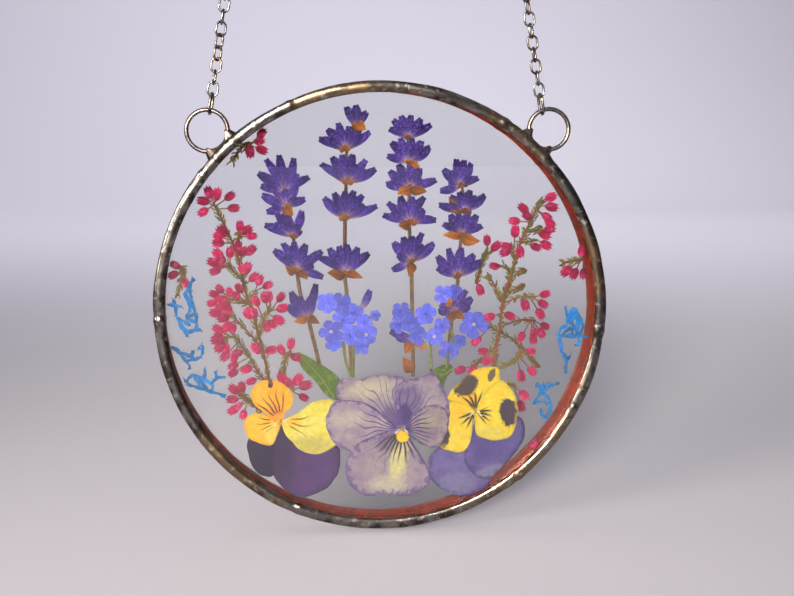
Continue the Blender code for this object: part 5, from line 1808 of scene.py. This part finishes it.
@dataclass
class Studio:
    """A pale floor that curves up behind, soft lights from above and the left, and the camera."""

    floor_gap: float = 1.0 * MM
    half_width: float = 3.0
    front: float = -3.0
    turn_up: float = 1.1
    sweep: float = 0.9
    top: float = 2.6
    paper: str = "#bebbc4"
    air: tuple[float, float] = (0.05, 0.45)   # the light from below and from above

    def build(self) -> None:
        """Set the stage."""
        self.lay_floor()
        self.set_world()
        self.set_lights()
        self.set_camera()

    def lay_floor(self) -> None:
        """Lay a sheet whose back curves up."""
        ground = RIM_LOW.z - self.floor_gap
        path = [Vector((0.0, self.front, ground))]
        path += arc(Vector((0.0, self.turn_up, ground + self.sweep)), BACKWARD * self.sweep,
                    UPWARD * self.sweep, -math.pi / 2, 0.0, 32)
        path.append(Vector((0.0, self.turn_up + self.sweep, ground + self.top)))
        shape = bmesh.new()
        rows = [shape.verts.new(point - Vector((self.half_width, 0.0, 0.0))) for point in path]
        edges = [shape.edges.new(pair) for pair in zip(rows, rows[1:])]
        grown = bmesh.ops.extrude_edge_only(shape, edges=edges)["geom"]
        fresh = [item for item in grown if isinstance(item, BMVert)]
        bmesh.ops.translate(shape, verts=fresh, vec=(2 * self.half_width, 0.0, 0.0))
        round_off(shape)
        if sum(face.normal.z for face in shape.faces) < 0:
            bmesh.ops.reverse_faces(shape, faces=shape.faces)
        material, shader = new_material("pale paper backdrop", Roughness=0.9, Specular_IOR_Level=0.1)
        shade = rescale(material, grain(material, 900.0, 1.0), 0.2, 0.8, 0.98, 1.02)
        paint(material, shader, linear(self.paper), shade)
        item = new_object(shape, "studio_floor", [material])

    def set_world(self) -> None:
        """Fill the air with dim light, more from above than from below."""
        world = bpy.data.worlds.new("studio air")
        bpy.context.scene.world = world
        world.use_nodes = True
        seat = add_node(world, "TexCoord").outputs["Generated"]
        axes = add_node(world, "SeparateXYZ", {0: seat})
        background = world.node_tree.nodes["Background"]
        background.inputs["Color"].default_value = linear("#f4f3f8")
        feed(world, rescale(world, axes.outputs[2], 0.0, 0.8, *self.air), background.inputs["Strength"])

    def set_lights(self) -> None:
        """Hang a soft box in front, one on the left, and one behind for the backdrop."""
        self.add_light("soft_box_front", Vector((-0.28, -0.95, 0.25)), 0.3, 1.15, "#fffaf2", spread=34.0)
        self.add_light("soft_box_left", Vector((-0.5, -0.36, 0.14)), 0.22, 0.4, "#fff2e0", spread=60.0)
        self.add_light("soft_box_back", Vector((0.0, 0.55, 1.15)), 1.1, 20.0, "#fbfaff",
                       Vector((0.0, 1.9, 0.35)), spread=150.0)

    def add_light(self, name: str, offset: Vector, size: float, power: float, code: str,
                  aim: Vector | None = None, spread: float = 180.0) -> None:
        """Hang an area light.

        Args:
            name: its name.
            offset: where it hangs, from the disc's centre.
            size: the length of its side.
            power: its watts.
            code: its sRGB colour.
            aim: where it points, from the disc's centre; the centre itself if left out.
            spread: how wide its grid lets the light out, in degrees.
        """
        light = bpy.data.lights.new(name, "AREA")
        light.size = size
        light.energy = power
        light.color = linear(code)[:3]
        light.spread = math.radians(spread)
        item = bpy.data.objects.new(name, light)
        item.location = DISC_CENTRE + offset
        item.rotation_euler = ((aim or Vector()) - offset).to_track_quat("-Z", "Y").to_euler()
        bpy.context.scene.collection.objects.link(item)

    def set_camera(self) -> None:
        """Stand the camera where the photograph was taken."""
        eye, forward, right, up = sight_axes()
        data = bpy.data.cameras.new("photograph")
        data.sensor_width = SENSOR_WIDTH_MM
        data.lens = VIEW_FOCAL_PX / VIEW_WIDTH_PX * SENSOR_WIDTH_MM
        data.clip_start = 0.01
        item = bpy.data.objects.new("photograph", data)
        turn = Matrix((right, up, -forward)).transposed().to_4x4()
        item.matrix_world = Matrix.Translation(DISC_CENTRE + eye) @ turn
        bpy.context.scene.collection.objects.link(item)
        bpy.context.scene.camera = item
        bpy.context.scene.view_settings.view_transform = "Standard"


def main() -> None:
    """Build the suncatcher and its stage, in order."""
    logging.basicConfig(level=logging.INFO, format="%(name)s %(message)s")
    random.seed(21)
    bpy.context.view_layer.update()
    log.info("glass, foil and solder")
    Panes().build(WindowGlass().make())
    Foil().build(AgedMetal("copper foil", "#c43c04", "#902c04", "#e4641c", "#b03c06", (0.35, 0.55),
                           blotch_mm=3.0, grit_mm=0.5, grit_depth_mm=0.03, metallic=0.4).make())
    SolderRim().build(AgedMetal("patinated solder", "#77716c", "#35302d", "#b4aea8", "#7c664c", (0.16, 0.34),
                                blotch_mm=3.4, warm_mm=22.0, grit_mm=0.6, grit_depth_mm=0.012).make())
    log.info("rings, chains and hooks")
    Hanging().build(AgedMetal("dark chain metal", "#85807d", "#454143", "#c4beb8", "#7c6653", (0.2, 0.38),
                              blotch_mm=1.6, warm_mm=5.0, grit_mm=0.2, grit_depth_mm=0.008).make())
    log.info("violas")
    Viola("viola_left", SIDE_VIOLAS, LEFT_EYE, "orange_purple_viola").build(LEFT_VIOLA_FINISHES)
    Viola("viola_right", SIDE_VIOLAS, RIGHT_EYE, "yellow_blue_viola").build(RIGHT_VIOLA_FINISHES)
    Viola("viola_centre", FRONT_VIOLA, CENTRE_EYE, "grey_violet_viola").build(CENTRE_VIOLA_FINISHES)
    log.info("lavender")
    finishes = lavender_finishes()
    for name in LAVENDERS_PX:
        LavenderSpike(name).build(finishes)
    loose = Sculpture()
    base, tip = (on_glass(point, LAVENDERS) for point in LAVENDER_BUD_PX)
    LavenderSpike("lavender_bud").add_bud(loose, base, tip)
    loose.object("lavender_bud_calyx", Body.DISC, ["lavender_bud"], finishes)
    log.info("forget-me-nots")
    finishes = forget_me_not_finishes()
    for name in FORGET_ME_NOTS_PX:
        ForgetMeNots(name).build(finishes)
    log.info("heather")
    finishes = heather_finishes()
    for name in HEATHERS_PX:
        HeatherSprig(name).build(finishes)
    loose = Sculpture()
    base, tip = (on_glass(point, HEATHERS) for point in HEATHER_BELL_PX)
    HeatherSprig("heather_bell").add_bell(loose, (base + tip) / 2, base)
    loose.object("heather_bell_sepals", Body.DISC, ["heather_bell"], finishes)
    log.info("leaves and lichen")
    green = [DriedPlant("pressed green leaf", ((0.0, "#687a20"), (0.5, "#506a14"), (1.0, "#435a12")),
                        blotch="#7f8f3c", blotch_mm=1.2, variety=0.1).make(),
             DriedPlant("leaf midrib", ((0.0, "#8a9648"), (1.0, "#7b8a3a"))).make()]
    for name in LEAVES_PX:
        Leaf(name).build(green)
    azure = [DriedPlant("dyed lichen", ((0.0, "#066cb4"), (0.5, "#0c80cc"), (1.0, "#086cb0")),
                        blotch="#0b5fa0", blotch_mm=0.7, variety=0.25).make()]
    for name in LICHENS_PX:
        Lichen(name).build(azure)
    Studio().build()
    bpy.context.view_layer.update()


if __name__ == "__main__":
    main()
